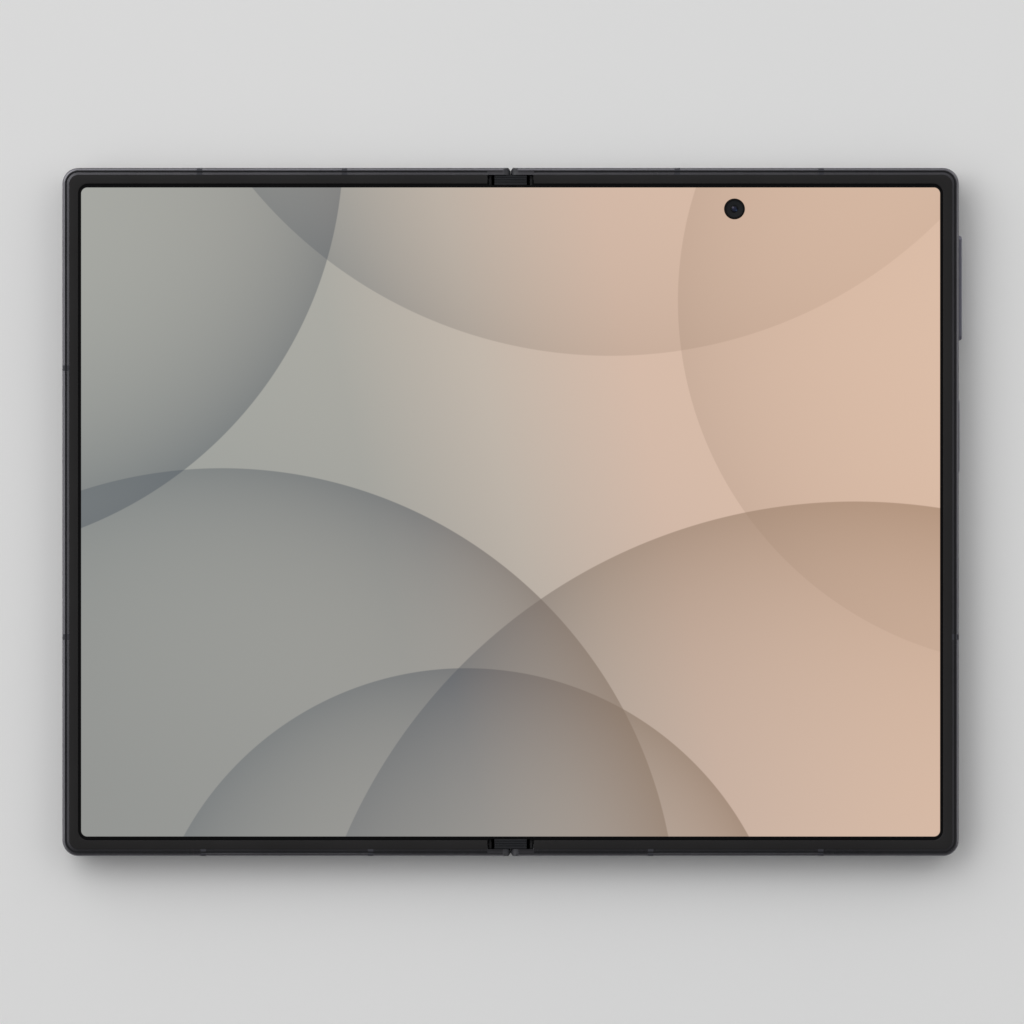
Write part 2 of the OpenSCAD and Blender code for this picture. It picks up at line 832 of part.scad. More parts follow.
module wireless_coil() {
    x = (battery_x0 + battery_x1) / 2;
    y = (battery_y0 + battery_y1) / 2;
    z = z_deck - battery_t;
    color(copper) difference() {
        pin_z(x, y, coil_r, z - coil_t, z);
        pin_z(x, y, coil_in_r, z - coil_t - through, z + through);
    }
}

// The loudspeaker's holes lie in two groups, one on each side of the antenna break
function sound_at(i) =
    right_bottom_breaks[1] + (i - (sound_holes - 1) / 2) * sound_pitch
    + (i < sound_holes / 2 ? -sound_split : sound_split) / 2;

module loudspeaker() {
    color([0.1, 0.1, 0.1])
        box(sound_at(0) - speaker_side, sound_at(sound_holes - 1) + speaker_side,
            -inner_y + slot_gap, -inner_y + speaker_l, z_glass + slot_gap, z_deck);
}

module vibration_motor() {
    x = battery_x1 + motor_gap;
    y = battery_y0 + 4 * motor_gap;
    color(steel) round_plate(x, x + motor_w, y, y + motor_w, z_glass + 3 * slot_gap, z_deck, motor_r);
}

module usb_port() {
    back = -usb_front + usb_depth;
    color(steel) difference() {
        slot_y(usb_x, usb_z, usb_w + 2 * usb_wall, usb_h + 2 * usb_wall, -usb_front, back);
        slot_y(usb_x, usb_z, usb_w, usb_h, -usb_front - through, back - usb_wall);
    }
}

module usb_tongue() {
    back = -usb_front + usb_depth - usb_wall;
    color(dark) {
        slot_y(usb_x, usb_z, usb_w - 2 * wing_gap, usb_h - 2 * wing_gap, back - tongue_foot, back);
        box(usb_x - usb_w / 2 + tongue_side, usb_x + usb_w / 2 - tongue_side,
            back - tongue_foot - tongue_len, back - tongue_foot / 2,
            usb_z - tongue_t / 2, usb_z + tongue_t / 2);
    }
}

module usb_board() {
    y0 = -usb_front + usb_depth;
    color(board_green) {
        box(usb_x - usb_board_w / 2, usb_x + usb_board_w / 2, y0, y0 + usb_board_l,
            usb_z - board_t / 2, usb_z + board_t / 2);
        for (s = [-1, 1]) translate([usb_x + s * (usb_board_w / 2 - usb_foot), 0, 0])
            box(-usb_foot / 2, usb_foot / 2, y0 + usb_board_l - 2 * usb_foot,
                y0 + usb_board_l - usb_foot, usb_z, z_deck);
    }
}

// ---- Keys ----

module key_switches() {
    color([0.75, 0.6, 0.3]) {
        box(switch_x - flex_strip_t, switch_x, power_y - power_len / 2, volume_y + volume_len / 2,
            z_mid - key_h / 2, z_mid + key_h / 2 - 0.3);
        for (y = [power_y, volume_y - volume_len / 4, volume_y + volume_len / 4])
            box(switch_x - seam, key_wall_x - 0.3 + 0.25, y - dome_w / 2, y + dome_w / 2,
                z_mid - key_h / 4, z_mid + key_h / 4);
    }
}

// A key that comes through the frame's wall, with round ends
module key(y, len, out, flange) {
    x1 = half_w + out;
    z0 = z_mid - key_h / 2;
    z1 = z_mid + key_h / 2;
    r = min(key_corner, out);
    intersection() {
        slot_x(y, z_mid, len, key_h, key_wall_x, x1 + through);
        union() {
            box(key_wall_x + 0.25, x1 - r, y - len / 2, y + len / 2, z0, z1);
            box(x1 - r - tie, x1, y - len / 2 + r, y + len / 2 - r, z0, z1);
            for (s = [-1, 1]) pin_z(x1 - r, y + s * (len / 2 - r), r, z0, z1);
        }
    }
    box(inner_x - slot_gap - key_flange_t, inner_x - slot_gap, y - flange / 2, y + flange / 2,
        z0 - key_flange, z1 - 0.3);
}

module volume_key() {
    color(graphite) key(volume_y, volume_len, volume_out, flange_len);
}

module power_key() {
    color(graphite) key(power_y, power_len, power_out, power_len + 2 * key_flange);
}

// ---- Hinge ----

// Section of the space between two concentric half rounds about the axes
module spine_section(r) {
    for (s = [-1, 1]) translate([s * axis_x, z_axis]) circle(r = r);
    translate([-axis_x, z_axis - r]) square([2 * axis_x, r]);
}

module hinge_cover() {
    color(graphite) difference() {
        along_y(-spine_y, spine_y) difference() {
            spine_section(cover_r);
            spine_section(cover_in_r);
            translate([-axis_x, z_axis - tie]) square([2 * axis_x, cover_r + 2 * tie]);
            translate([-cover_r - axis_x - through, cover_top])
                square([2 * (cover_r + axis_x + through), cover_r]);
        }
        for (s = [-1, 1]) arm_slots(s * wall_x - 2, s * wall_x + 2, cover_top + through);
        at_foot_screws() translate([0, 0, -foot_screw_in - screw_gap])
            cylinder(r = screw_shank_r + screw_gap, h = 2 * cover_wall);
    }
}

// The feet's screws stand in the cover's floor, in the middle of the channel
module at_foot_screws() {
    both_modules() for (y = [module_y0 - foot_l / 2, module_y1 + foot_l / 2])
        translate([0, y, z_axis - cover_in_r]) children();
}

// Plugs at both ends of the hinge cover, with fine steps where they show beside the screen
module hinge_end_caps() {
    step = cap_l / (cap_grooves + 1);
    color([0.16, 0.17, 0.2]) for (s = [0, 1]) mirror([0, s, 0]) difference() {
        union() {
            along_y(cap_y, spine_y) intersection() {
                spine_section(cover_in_r - wing_gap);
                translate([-cap_w / 2, 0]) square([cap_w, cover_top]);
            }
            box(-cap_w / 2, cap_w / 2, cap_y, spine_y, z_axis, z_disp);
        }
        for (i = [1:cap_grooves])
            box(-cap_w, cap_w, cap_y + i * step - step / 4, cap_y + i * step + step / 4,
                z_disp - cap_groove_t, z_disp + through);
    }
}

// Two rails with cross walls that hold the shafts and the idler gears' pins
module hinge_brackets() {
    floor_z = z_axis - cover_in_r;
    color(steel) difference() {
        both_modules() union() {
            for (y = wall_ys) along_y(y, y + bracket_wall) bracket_section();
            for (s = [-1, 1])
                box(s * rail_x - rail_w / 2, s * rail_x + rail_w / 2, module_y0, module_y1,
                    rail_top - rail_z, rail_top);
            for (y = [module_y0 - foot_l, module_y1 - tie])
                box(-foot_w / 2, foot_w / 2, y, y + foot_l + tie, floor_z, floor_z + foot_h);
        }
        both_modules() for (s = [-1, 1]) {
            pin_y(s * axis_x, z_axis, shaft_r + bore_gap / 2, module_y0 - through, module_y1 + through);
            pin_y(s * idler_x, idler_z, idler_pin_r + bore_gap / 2, module_y0 - through, arm_y0);
        }
        at_foot_screws() cylinder(r = screw_shank_r + screw_gap, h = 3 * foot_h, center = true);
    }
}

// A cross wall fills the channel up to just above the shafts
module bracket_section() {
    w = plate_w / 2 + wing_gap;
    difference() {
        intersection() {
            spine_section(cover_in_r);
            translate([-axis_x - knuckle_r - wall_side, 0])
                square([2 * (axis_x + knuckle_r + wall_side), centre_top]);
        }
        translate([-w, centre_z]) square([2 * w, centre_t + through]);
    }
}

// Two shafts and two idler pins in each module
module hinge_pins() {
    color(steel) both_modules() for (s = [-1, 1]) {
        pin_y(s * axis_x, z_axis, shaft_r, module_y0, module_y1);
        pin_y(s * idler_x, idler_z, idler_pin_r, module_y0, wall_ys[1] + bracket_wall);
    }
}

// Collars on both shafts, joined by a web, pressed against the arms by the springs
module cam_followers() {
    color([0.5, 0.48, 0.42]) both_modules() difference() {
        union() {
            for (s = [-1, 1]) pin_y(s * axis_x, z_axis, knuckle_r, cam_y0, cam_y1);
            box(-axis_x, axis_x, cam_y0, cam_y1, z_axis + tie - web_t, z_axis + tie);
        }
        for (s = [-1, 1])
            pin_y(s * axis_x, z_axis, shaft_r + bore_gap, cam_y0 - through, cam_y1 + through);
    }
}

module torque_springs() {
    color(steel) both_modules() for (s = [-1, 1]) difference() {
        pin_y(s * axis_x, z_axis, knuckle_r - seam, cam_y1, spring_y1);
        pin_y(s * axis_x, z_axis, shaft_r + bore_gap, cam_y1 - through, spring_y1 + through);
    }
}

// Plate under the middle of the display, narrow beside the gears
module centre_plate() {
    color(steel) difference() {
        box(-plate_w / 2, plate_w / 2, -flex_y, flex_y, centre_z, centre_top);
        both_modules() for (s = [0, 1]) mirror([s, 0, 0])
            box(plate_narrow / 2, plate_w, gear_y0 - end_gap, gear_y1 + end_gap, centre_z - through, z_disp);
    }
}

module hinge_screws() {
    color(steel) at_foot_screws() {
        translate([0, 0, foot_h]) cylinder(r = screw_head_r, h = screw_head_t);
        translate([0, 0, -foot_screw_in]) cylinder(r = screw_shank_r, h = foot_h + foot_screw_in + tie);
    }
}

module hinge_flex_cable() {
    color([0.75, 0.5, 0.2])
        box(-flex_x + seam, flex_x - seam, -cable_half, cable_half, cable_z, cable_z + cable_t);
}

// Involute function in degrees of roll
function involute(a) = tan(a) * 180 / PI - a;

// Half the angle that a tooth takes at radius r
function tooth_half(r) =
    90 / teeth * (1 - backlash) + involute(pressure) - involute(acos(min(1, base_r / r)));

// The phase of a gear that meshes with a gear of phase p lying in direction d from it
function mate_phase(p, d) = 2 * d + 180 - p + pitch_angle / 2;

// A point at radius r in the direction a
function polar(r, a) = [r * cos(a), r * sin(a)];

// One tooth's outline about the direction a
module tooth(a) {
    radii = [base_r, gear_r, tip_r];
    near = [for (r = radii) polar(r, a - tooth_half(r))];
    far = [for (i = [2:-1:0]) polar(radii[i], a + tooth_half(radii[i]))];
    polygon(concat([[0, 0]], near, far));
}

// An idler gear drawn in x and z about its own axis
module idler(x, phase) {
    both_modules() difference() {
        along_y(gear_y0, gear_y1) translate([x, idler_z]) {
            circle(r = root_r);
            for (i = [0:teeth - 1]) tooth(phase + i * pitch_angle);
        }
        pin_y(x, idler_z, idler_pin_r + bore_gap, gear_y0 - through, gear_y1 + through);
    }
}

module idler_gears_right() {
    color([0.75, 0.68, 0.45]) idler(idler_x, idler_angle_r);
}

module idler_gears_left() {
    color([0.75, 0.68, 0.45]) idler(-idler_x, idler_angle_l);
}

// A plate with the hole or holes for its screws, seated under the deck
module arm_plate(x0, y0, y1) {
    box(x0, arm_reach, y0, y1, z_deck - arm_t, z_deck);
}

module hinge_arms() {
    both_modules() difference() {
        union() {
            pin_y(axis_x, z_axis, knuckle_r, arm_y0, arm_y1);
            arm_plate(axis_x - knuckle_r / 4, arm_y0, arm_y1);
        }
        pin_y(axis_x, z_axis, shaft_r + bore_gap, arm_y0 - through, arm_y1 + through);
        for (s = [-1, 1])
            pin_z(arm_screw_x, (arm_y0 + arm_y1) / 2 + s * main_screw_dy, screw_shank_r + screw_gap,
                  0, z_deck + through);
    }
}

// The geared arm's sector starts at angle a0
module geared_arms(a0) {
    both_modules() difference() {
        union() {
            along_y(gear_y0, gear_y1) translate([axis_x, z_axis]) {
                circle(r = root_r);
                for (i = [0:sector_teeth - 1]) tooth(a0 + i * pitch_angle);
            }
            arm_plate(axis_x + 0.3, gear_y0, gear_y1);
        }
        pin_y(axis_x, z_axis, shaft_r + bore_gap, gear_y0 - through, gear_y1 + through);
        pin_z(arm_screw_x, (gear_y0 + gear_y1) / 2, screw_shank_r + screw_gap, 0, z_deck + through);
    }
}

module arm_screw_set() {
    color(steel) at_arm_screws() {
        translate([0, 0, z_deck - arm_t - screw_head_t]) cylinder(r = screw_head_r, h = screw_head_t);
        translate([0, 0, z_deck - arm_t - tie]) cylinder(r = screw_shank_r, h = arm_t + tie + 0.4);
    }
}

// First tooth that the closed phone needs, on a sector of phase p in the right half's view
function first_tooth(p) = p + pitch_angle * ceil((idler_dir + 90 - pitch_angle / 2 - p) / pitch_angle);

sector_r = first_tooth(mate_phase(idler_angle_r, idler_dir));
sector_l = first_tooth(180 - mate_phase(idler_angle_l, 180 - idler_dir));

module right_hinge_arms() {
    color([0.55, 0.56, 0.6]) hinge_arms();
}

module left_hinge_arms() {
    color([0.55, 0.56, 0.6]) left() hinge_arms();
}

module right_geared_arms() {
    color([0.75, 0.68, 0.45]) geared_arms(sector_r);
}

module left_geared_arms() {
    color([0.75, 0.68, 0.45]) left() geared_arms(sector_l);
}

module right_arm_screws() {
    arm_screw_set();
}

module left_arm_screws() {
    left() arm_screw_set();
}

// Plate under the bending part of the display, with its bead on the frame's ledge
module wing_plate() {
    color(steel) {
        box(wing_in, wing_x, -wing_y, wing_y, wing_z + bead_r - wing_t, wing_z + bead_r);
        pin_y(wing_x, wing_z, bead_r, -wing_y, wing_y);
    }
}

module right_wing_plate() {
    wing_plate();
}

module left_wing_plate() {
    left() wing_plate();
}

// ---- Left half ----

module cover_glass() {
    color([0.05, 0.05, 0.06]) left()
        round_plate(glass_x, half_w - back_rim_w - seam, -half_h + back_rim_w + seam,
                    half_h - back_rim_w - seam, z_back, z_glass, corner_r - back_rim_w - seam);
}

module cover_display_panel() {
    color([0.1, 0.1, 0.12]) difference() {
        left() round_plate(ledge_x + 0.3, inner_x - 0.4, -inner_y + 0.4, inner_y - 0.4,
                           z_glass, z_glass + cover_panel_t, 1.5);
        pin_z(cover_cam_x, cover_cam_y, cover_cam_r + seam, z_glass - through,
              z_glass + cover_panel_t + through);
    }
}

module cover_camera() {
    w = cover_cam_w / 2;
    z = z_glass + cover_panel_t;
    color([0.08, 0.08, 0.1]) {
        box(cover_cam_x - w, cover_cam_x + w, cover_cam_y - w, cover_cam_y + w, z, z_deck);
        pin_z(cover_cam_x, cover_cam_y, cover_cam_r, z_glass, z + tie);
    }
}

module left_battery() {
    color([0.25, 0.25, 0.27]) left()
        round_plate(battery_x0, inner_x - 3, left_battery_y0, left_board_y0 - battery_gap,
                    z_deck - battery2_t, z_deck, battery_r);
}

module left_board() {
    color(board_green) left() board(left_board_x1, left_board_y0, left_board_y1, left_pads);
}

module left_board_screws() {
    color(steel) left() board_screw_set(left_pads);
}

module earpiece_speaker() {
    color([0.1, 0.1, 0.1])
        box(tray_x - 3 - earpiece_w, tray_x - 3, inner_y - earpiece_l, inner_y - slot_gap,
            z_glass + cover_panel_t + slot_gap, z_deck);
}

module sim_tray() {
    w = tray_w / 2;
    color(graphite) {
        slot_y(tray_x, tray_z, tray_face_w, tray_face_h, -half_h, -inner_y);
        difference() {
            box(tray_x - w, tray_x + w, -inner_y - tie, -inner_y + tray_len,
                tray_z - tray_h / 2, tray_z + tray_h / 2);
            box(tray_x - w + tray_wall, tray_x + w - tray_wall, -inner_y + tray_wall,
                -inner_y + tray_len - tray_wall, tray_z - tray_h / 4, tray_z + tray_h);
        }
    }
}

module sim_socket() {
    w = tray_w / 2 + tray_gap;
    h = tray_h / 2 + tray_gap;
    color(steel) difference() {
        box(tray_x - w - socket_wall, tray_x + w + socket_wall, -inner_y + slot_gap,
            -inner_y + tray_len + tray_gap + socket_wall, tray_z - h - socket_wall, z_deck);
        box(tray_x - w, tray_x + w, -inner_y - through, -inner_y + tray_len + tray_gap,
            tray_z - h, tray_z + h);
    }
}

right_frame();
right_antenna_breaks();
right_bezel();
right_display_panel();
right_display_plate();
right_back_glass();
camera_island();
camera_lens_rings();
camera_lens_glass();
rear_camera_modules();
flash_window();
inner_camera_lens();
inner_camera_module();
main_board();
shield_cans();
board_screws();
right_battery();
wireless_coil();
loudspeaker();
vibration_motor();
usb_port();
usb_tongue();
usb_board();
key_switches();
right_hinge_arms();
right_geared_arms();
right_arm_screws();
volume_key();
power_key();
hinge_cover();
hinge_end_caps();
hinge_brackets();
hinge_pins();
cam_followers();
torque_springs();
centre_plate();
hinge_screws();
display_flex();
hinge_flex_cable();
idler_gears_right();
idler_gears_left();
right_wing_plate();
left_wing_plate();
left_frame();
left_antenna_breaks();
left_bezel();
left_display_panel();
left_display_plate();
cover_glass();
cover_display_panel();
cover_camera();
left_battery();
left_board();
left_board_screws();
earpiece_speaker();
sim_tray();
sim_socket();
left_hinge_arms();
left_geared_arms();
left_arm_screws();
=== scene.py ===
"""Looks of a foldable smartphone that lies open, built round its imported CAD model."""

import json
import logging
import math
from abc import ABC, abstractmethod
from dataclasses import dataclass
from enum import Enum
from functools import cache
from typing import Callable, Iterable, Optional, Sequence, Union

import bmesh
import bpy
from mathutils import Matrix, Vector


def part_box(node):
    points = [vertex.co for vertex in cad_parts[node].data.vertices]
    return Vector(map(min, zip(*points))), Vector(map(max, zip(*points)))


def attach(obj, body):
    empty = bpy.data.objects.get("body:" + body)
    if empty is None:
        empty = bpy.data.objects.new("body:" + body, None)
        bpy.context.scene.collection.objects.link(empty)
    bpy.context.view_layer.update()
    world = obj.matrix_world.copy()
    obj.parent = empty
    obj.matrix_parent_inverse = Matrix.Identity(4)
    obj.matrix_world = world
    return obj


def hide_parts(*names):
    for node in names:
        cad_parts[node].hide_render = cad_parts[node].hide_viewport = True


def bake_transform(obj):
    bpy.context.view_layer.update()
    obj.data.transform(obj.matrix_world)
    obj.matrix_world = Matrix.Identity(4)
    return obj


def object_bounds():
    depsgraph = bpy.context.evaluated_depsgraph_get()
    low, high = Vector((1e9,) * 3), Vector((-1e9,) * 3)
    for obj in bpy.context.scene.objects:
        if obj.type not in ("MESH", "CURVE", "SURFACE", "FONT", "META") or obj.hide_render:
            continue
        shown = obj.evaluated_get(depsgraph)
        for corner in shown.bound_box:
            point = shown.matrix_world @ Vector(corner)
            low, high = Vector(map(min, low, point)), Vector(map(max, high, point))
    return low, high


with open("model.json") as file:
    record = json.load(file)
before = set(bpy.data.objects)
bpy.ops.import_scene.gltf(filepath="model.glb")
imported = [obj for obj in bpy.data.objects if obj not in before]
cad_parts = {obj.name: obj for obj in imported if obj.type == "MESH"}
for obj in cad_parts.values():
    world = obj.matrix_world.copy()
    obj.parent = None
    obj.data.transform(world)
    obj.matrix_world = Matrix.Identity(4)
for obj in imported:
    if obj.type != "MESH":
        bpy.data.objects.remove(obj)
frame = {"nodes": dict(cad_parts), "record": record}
CAD_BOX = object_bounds()

MM = 0.001
LOG = logging.getLogger("phone")

Rgb = tuple[int, int, int]
Point = tuple[float, float, float]
Flat = tuple[float, float]
Stop = tuple[float, Rgb]
Socket = bpy.types.NodeSocket
Node = bpy.types.Node
Mesh = bpy.types.Mesh
Item = bpy.types.Object
Material = bpy.types.Material

# Measures that several pieces share, in millimetres: the open phone's width and height, the inner
# camera's place, half the rim's width and height with its corners' radius, and the screen's level.
PAGE: Flat = (161.4, 123.9)
CAMERA_AT: Flat = (40.3, 54.55)
RIM_HALF: Flat = (79.44, 60.69)
RIM_R = 1.64
SCREEN_Z = 6.1


class Body(Enum):
    """The CAD bodies that pieces ride on."""

    RIGHT = "right_half"
    SPINE = "spine"
    LEFT = "left_half"
    VOLUME = "volume_rocker"
    POWER = "power_button"
    TRAY = "card_tray"


class Slot(Enum):
    """The record's material slots."""

    FRAME = "frame_metal"
    ANTENNA = "antenna_plastic"
    RIM = "rim_plastic"
    SCREEN = "screen"
    STEEL = "steel"
    BACK = "back_glass"
    COVER = "cover_glass"
    ISLAND = "island_metal"
    LENS = "lens_glass"
    FLASH = "flash_lens"
    BLACK = "black_plastic"
    BOARD = "circuit_board"
    BATTERY = "battery_pouch"
    COPPER = "copper"
    GEAR = "gear_metal"


def linear(colour: Rgb) -> tuple[float, float, float, float]:
    """Turns a display colour into Blender's linear one.

    Args:
        colour: Red, green and blue from 0 to 255.

    Returns:
        Linear red, green, blue and an alpha of 1.
    """
    parts = [c / 255 for c in colour]
    low, knee, gain = 0.04045, 12.92, 1.055
    out = [p / knee if p <= low else ((p + gain - 1) / gain) ** 2.4 for p in parts]
    return (out[0], out[1], out[2], 1.0)


# ---- Node trees ----


def arithmetic(operation: str, swapped: bool = False) -> Callable[["Value", "Number"], "Value"]:
    """Makes a method that adds a Math node.

    Args:
        operation: The node's operation.
        swapped: Whether the value comes second.

    Returns:
        The method.
    """
    def method(self: "Value", other: "Number") -> "Value":
        """Returns the result as a new value."""
        first, second = (other, self) if swapped else (self, other)
        return self.shader.math(operation, first, second)
    return method


class Value:
    """A socket that holds a number, so that shader maths reads as Python."""

    __add__, __radd__ = arithmetic("ADD"), arithmetic("ADD", True)
    __sub__, __rsub__ = arithmetic("SUBTRACT"), arithmetic("SUBTRACT", True)
    __mul__, __rmul__ = arithmetic("MULTIPLY"), arithmetic("MULTIPLY", True)
    __pow__ = arithmetic("POWER")

    def __init__(self, shader: "Shader", socket: Socket) -> None:
        """Keeps the shader and the socket."""
        self.shader = shader
        self.socket = socket

    def __abs__(self) -> "Value":
        """Drops the sign."""
        return self.shader.math("ABSOLUTE", self)


Number = Union[Value, float, int]
Feed = Union[Value, Node, Socket, float, int, tuple]


class Nodes:
    """A node tree with a short way to make its nodes."""

    prefix = "ShaderNode"

    def __init__(self, tree: bpy.types.NodeTree) -> None:
        """Keeps the tree and empties it."""
        self.tree = tree
        self.tree.nodes.clear()

    def node(self, kind: str, settings: Optional[dict] = None,
             inputs: Optional[dict] = None) -> Node:
        """Makes a node.

        Args:
            kind: The node's type after the prefix, or its full name.
            settings: Its settings, set first; "stops" are a ramp's (place, colour) pairs.
            inputs: Values or links by the socket's name or index.

        Returns:
            The new node.
        """
        made = self.tree.nodes.new(kind if "Node" in kind else self.prefix + kind)
        for key, value in (settings or {}).items():
            if key == "stops":
                ramp = made.color_ramp
                while len(ramp.elements) < len(value):
                    ramp.elements.new(1.0)
                for element, (place, colour) in zip(ramp.elements, value):
                    element.position = place
                    element.color = colour
            else:
                setattr(made, key, value)
        for key, value in (inputs or {}).items():
            self.feed(made.inputs[key], value)
        return made

    def feed(self, socket: Socket, value: Feed) -> None:
        """Links a socket to another one, or sets its value.

        Args:
            socket: The input socket.
            value: A Value, an output socket, a node for its first output, or plain numbers.
        """
        source = value.socket if isinstance(value, Value) else value
        source = source.outputs[0] if isinstance(source, Node) else source
        if isinstance(source, Socket):
            self.tree.links.new(source, socket)
        else:
            socket.default_value = source

    def maths(self, operation: str, *parts: Feed) -> Socket:
        """Adds a Math node and gives its result's socket."""
        return self.node("ShaderNodeMath", {"operation": operation}, dict(enumerate(parts))).outputs[0]


class Shader(Nodes):
    """One material's node tree, with short ways to make its nodes."""

    def __init__(self, name: str) -> None:
        """Starts an empty material.

        Args:
            name: Its name.
        """
        self.material = bpy.data.materials.new(name)
        self.material.use_nodes = True
        super().__init__(self.material.node_tree)

    def math(self, operation: str, *parts: Number) -> Value:
        """Adds a Math node and gives its result."""
        return Value(self, self.maths(operation, *parts))

    def mix(self, first: Feed, second: Feed, factor: Feed) -> Socket:
        """Mixes two colours or display colours, the second by the factor."""
        ends = [linear(colour) if isinstance(colour, tuple) else colour for colour in (first, second)]
        return self.node("Mix", {"data_type": "RGBA"}, {0: factor, 6: ends[0], 7: ends[1]}).outputs[2]

    def grained(self, colour: Rgb, drift: Rgb, fine: Value, slow: Value) -> Socket:
        """Mixes two display colours by a fine grain over a slow drift."""
        return self.mix(colour, drift, self.smooth(fine * 0.35 + slow * 0.65, 0.35, 0.65))

    def place(self, scale: Point = (1, 1, 1), turn: Point = (0, 0, 0)) -> Socket:
        """Gives the object's own coordinates, scaled and turned."""
        coords = self.node("TexCoord").outputs["Object"]
        return self.node("Mapping", {}, {"Vector": coords, "Rotation": turn, "Scale": scale}).outputs[0]

    def plan(self) -> tuple[Value, Value, Value]:
        """Gives the object's own coordinates in millimetres, taken apart."""
        return self.split(self.place((1 / MM, 1 / MM, 1 / MM)))

    def noise(self, size: float, detail: float = 3.0, stretch: Point = (1, 1, 1)) -> Value:
        """Adds noise about 0.5.

        Args:
            size: Its features' size in millimetres.
            detail: Its octaves.
            stretch: How far its features are drawn out along each axis.

        Returns:
            The noise.
        """
        inputs = {"Vector": self.place(tuple(1 / s for s in stretch)), "Scale": 1 / (size * MM)}
        made = self.node("TexNoise", {}, {**inputs, "Detail": detail, "Roughness": 0.55})
        return Value(self, made.outputs["Fac"])

    def smooth(self, value: Number, low: float, high: float) -> Value:
        """Steps softly from 0 at low to 1 at high."""
        return Value(self, self.node("MapRange", {"interpolation_type": "SMOOTHSTEP"}, {
            0: value, 1: low, 2: high}).outputs[0])

    def below(self, value: Number, limit: float, edge: float) -> Value:
        """Gives 1 under a limit and 0 over it, with a soft edge below the limit."""
        return 1 - self.smooth(value, limit - edge, limit)

    def ramp(self, value: Number, stops: Sequence[Stop]) -> Socket:
        """Maps a number to colours."""
        settings = {"stops": [(p, linear(c)) for p, c in stops]}
        return self.node("ValToRGB", settings, {0: value}).outputs[0]

    def split(self, vector: Feed) -> tuple[Value, Value, Value]:
        """Takes a vector apart."""
        made = self.node("SeparateXYZ", {}, {0: vector})
        return tuple(Value(self, out) for out in made.outputs)

    def beyond(self, x: Value, y: Value, half_x: float, half_y: float, corner: float) -> Value:
        """Measures how far a place lies outside a rectangle with round corners.

        Args:
            x: Its place across, from the middle.
            y: Its place along, from the middle.
            half_x: Half the rectangle's width.
            half_y: Half its height.
            corner: Its corners' radius.

        Returns:
            The distance, below 0 inside.
        """
        qx = abs(x) - (half_x - corner)
        qy = abs(y) - (half_y - corner)
        over_x = self.math("MAXIMUM", qx, 0)
        over_y = self.math("MAXIMUM", qy, 0)
        within = self.math("MINIMUM", self.math("MAXIMUM", qx, qy), 0)
        return self.math("SQRT", over_x ** 2 + over_y ** 2) + within - corner

    def far(self, x: Value, y: Value, centre: Flat) -> Value:
        """Measures the distance from a point in plan."""
        return self.math("SQRT", (x - centre[0]) ** 2 + (y - centre[1]) ** 2)

    def bump(self, height: Number, depth: float) -> Socket:
        """Turns a height into a normal."""
        return self.node("Bump", {}, {"Strength": 1.0, "Distance": depth * MM, "Height": height}).outputs[0]

    def surface(self, **inputs: Feed) -> Material:
        """Ends the tree in a Principled shader.

        Args:
            inputs: Its inputs, with underscores for spaces.

        Returns:
            The finished material.
        """
        named = {key.replace("_", " "): value for key, value in inputs.items()}
        self.node("OutputMaterial", {}, {"Surface": self.node("BsdfPrincipled", {}, named)})
        return self.material


# ---- Finishes ----


class Finish(ABC):
    """A finish that makes its material once."""

    made: dict[str, Material] = {}
    name: str
    slot: Slot

    def material(self) -> Material:
        """Gives the material, built at the first call.

        Returns:
            The material.
        """
        if self.name not in Finish.made:
            Finish.made[self.name] = self.build(Shader(self.name))
        return Finish.made[self.name]

    @abstractmethod
    def build(self, sh: Shader) -> Material:
        """Builds the material in an empty shader."""


@dataclass(frozen=True)
class Grained(Finish):
    """Metal, plastic or glass with a fine grain in its colour, gloss and surface."""

    name: str
    slot: Slot
    colour: Rgb
    drift: Rgb
    metallic: float = 0.0
    roughness: float = 0.4
    spread: float = 0.1
    grain: float = 0.12
    stretch: Point = (1, 1, 1)
    relief: float = 0.002
    coat: float = 0.0
    specular: float = 0.5

    def build(self, sh: Shader) -> Material:
        """Builds a fine grain over a slow drift of tone.

        Args:
            sh: An empty shader.

        Returns:
            The material.
        """
        fine = sh.noise(self.grain, 3.0, self.stretch)
        slow = sh.noise(14.0, 2.0)
        return sh.surface(
            Base_Color=sh.grained(self.colour, self.drift, fine, slow),
            Metallic=self.metallic,
            Roughness=self.roughness + (fine - 0.5) * self.spread + (slow - 0.5) * self.spread * 0.6,
            Specular_IOR_Level=self.specular,
            Coat_Weight=self.coat,
            Coat_Roughness=0.06,
            Normal=sh.bump(fine, self.relief),
        )


@dataclass(frozen=True)
class Dune:
    """One soft disc of the screen's picture: a crisp edge with shade that fades inwards."""

    x: float
    y: float
    radius: float
    fade: float
    shade: float
    tint: float


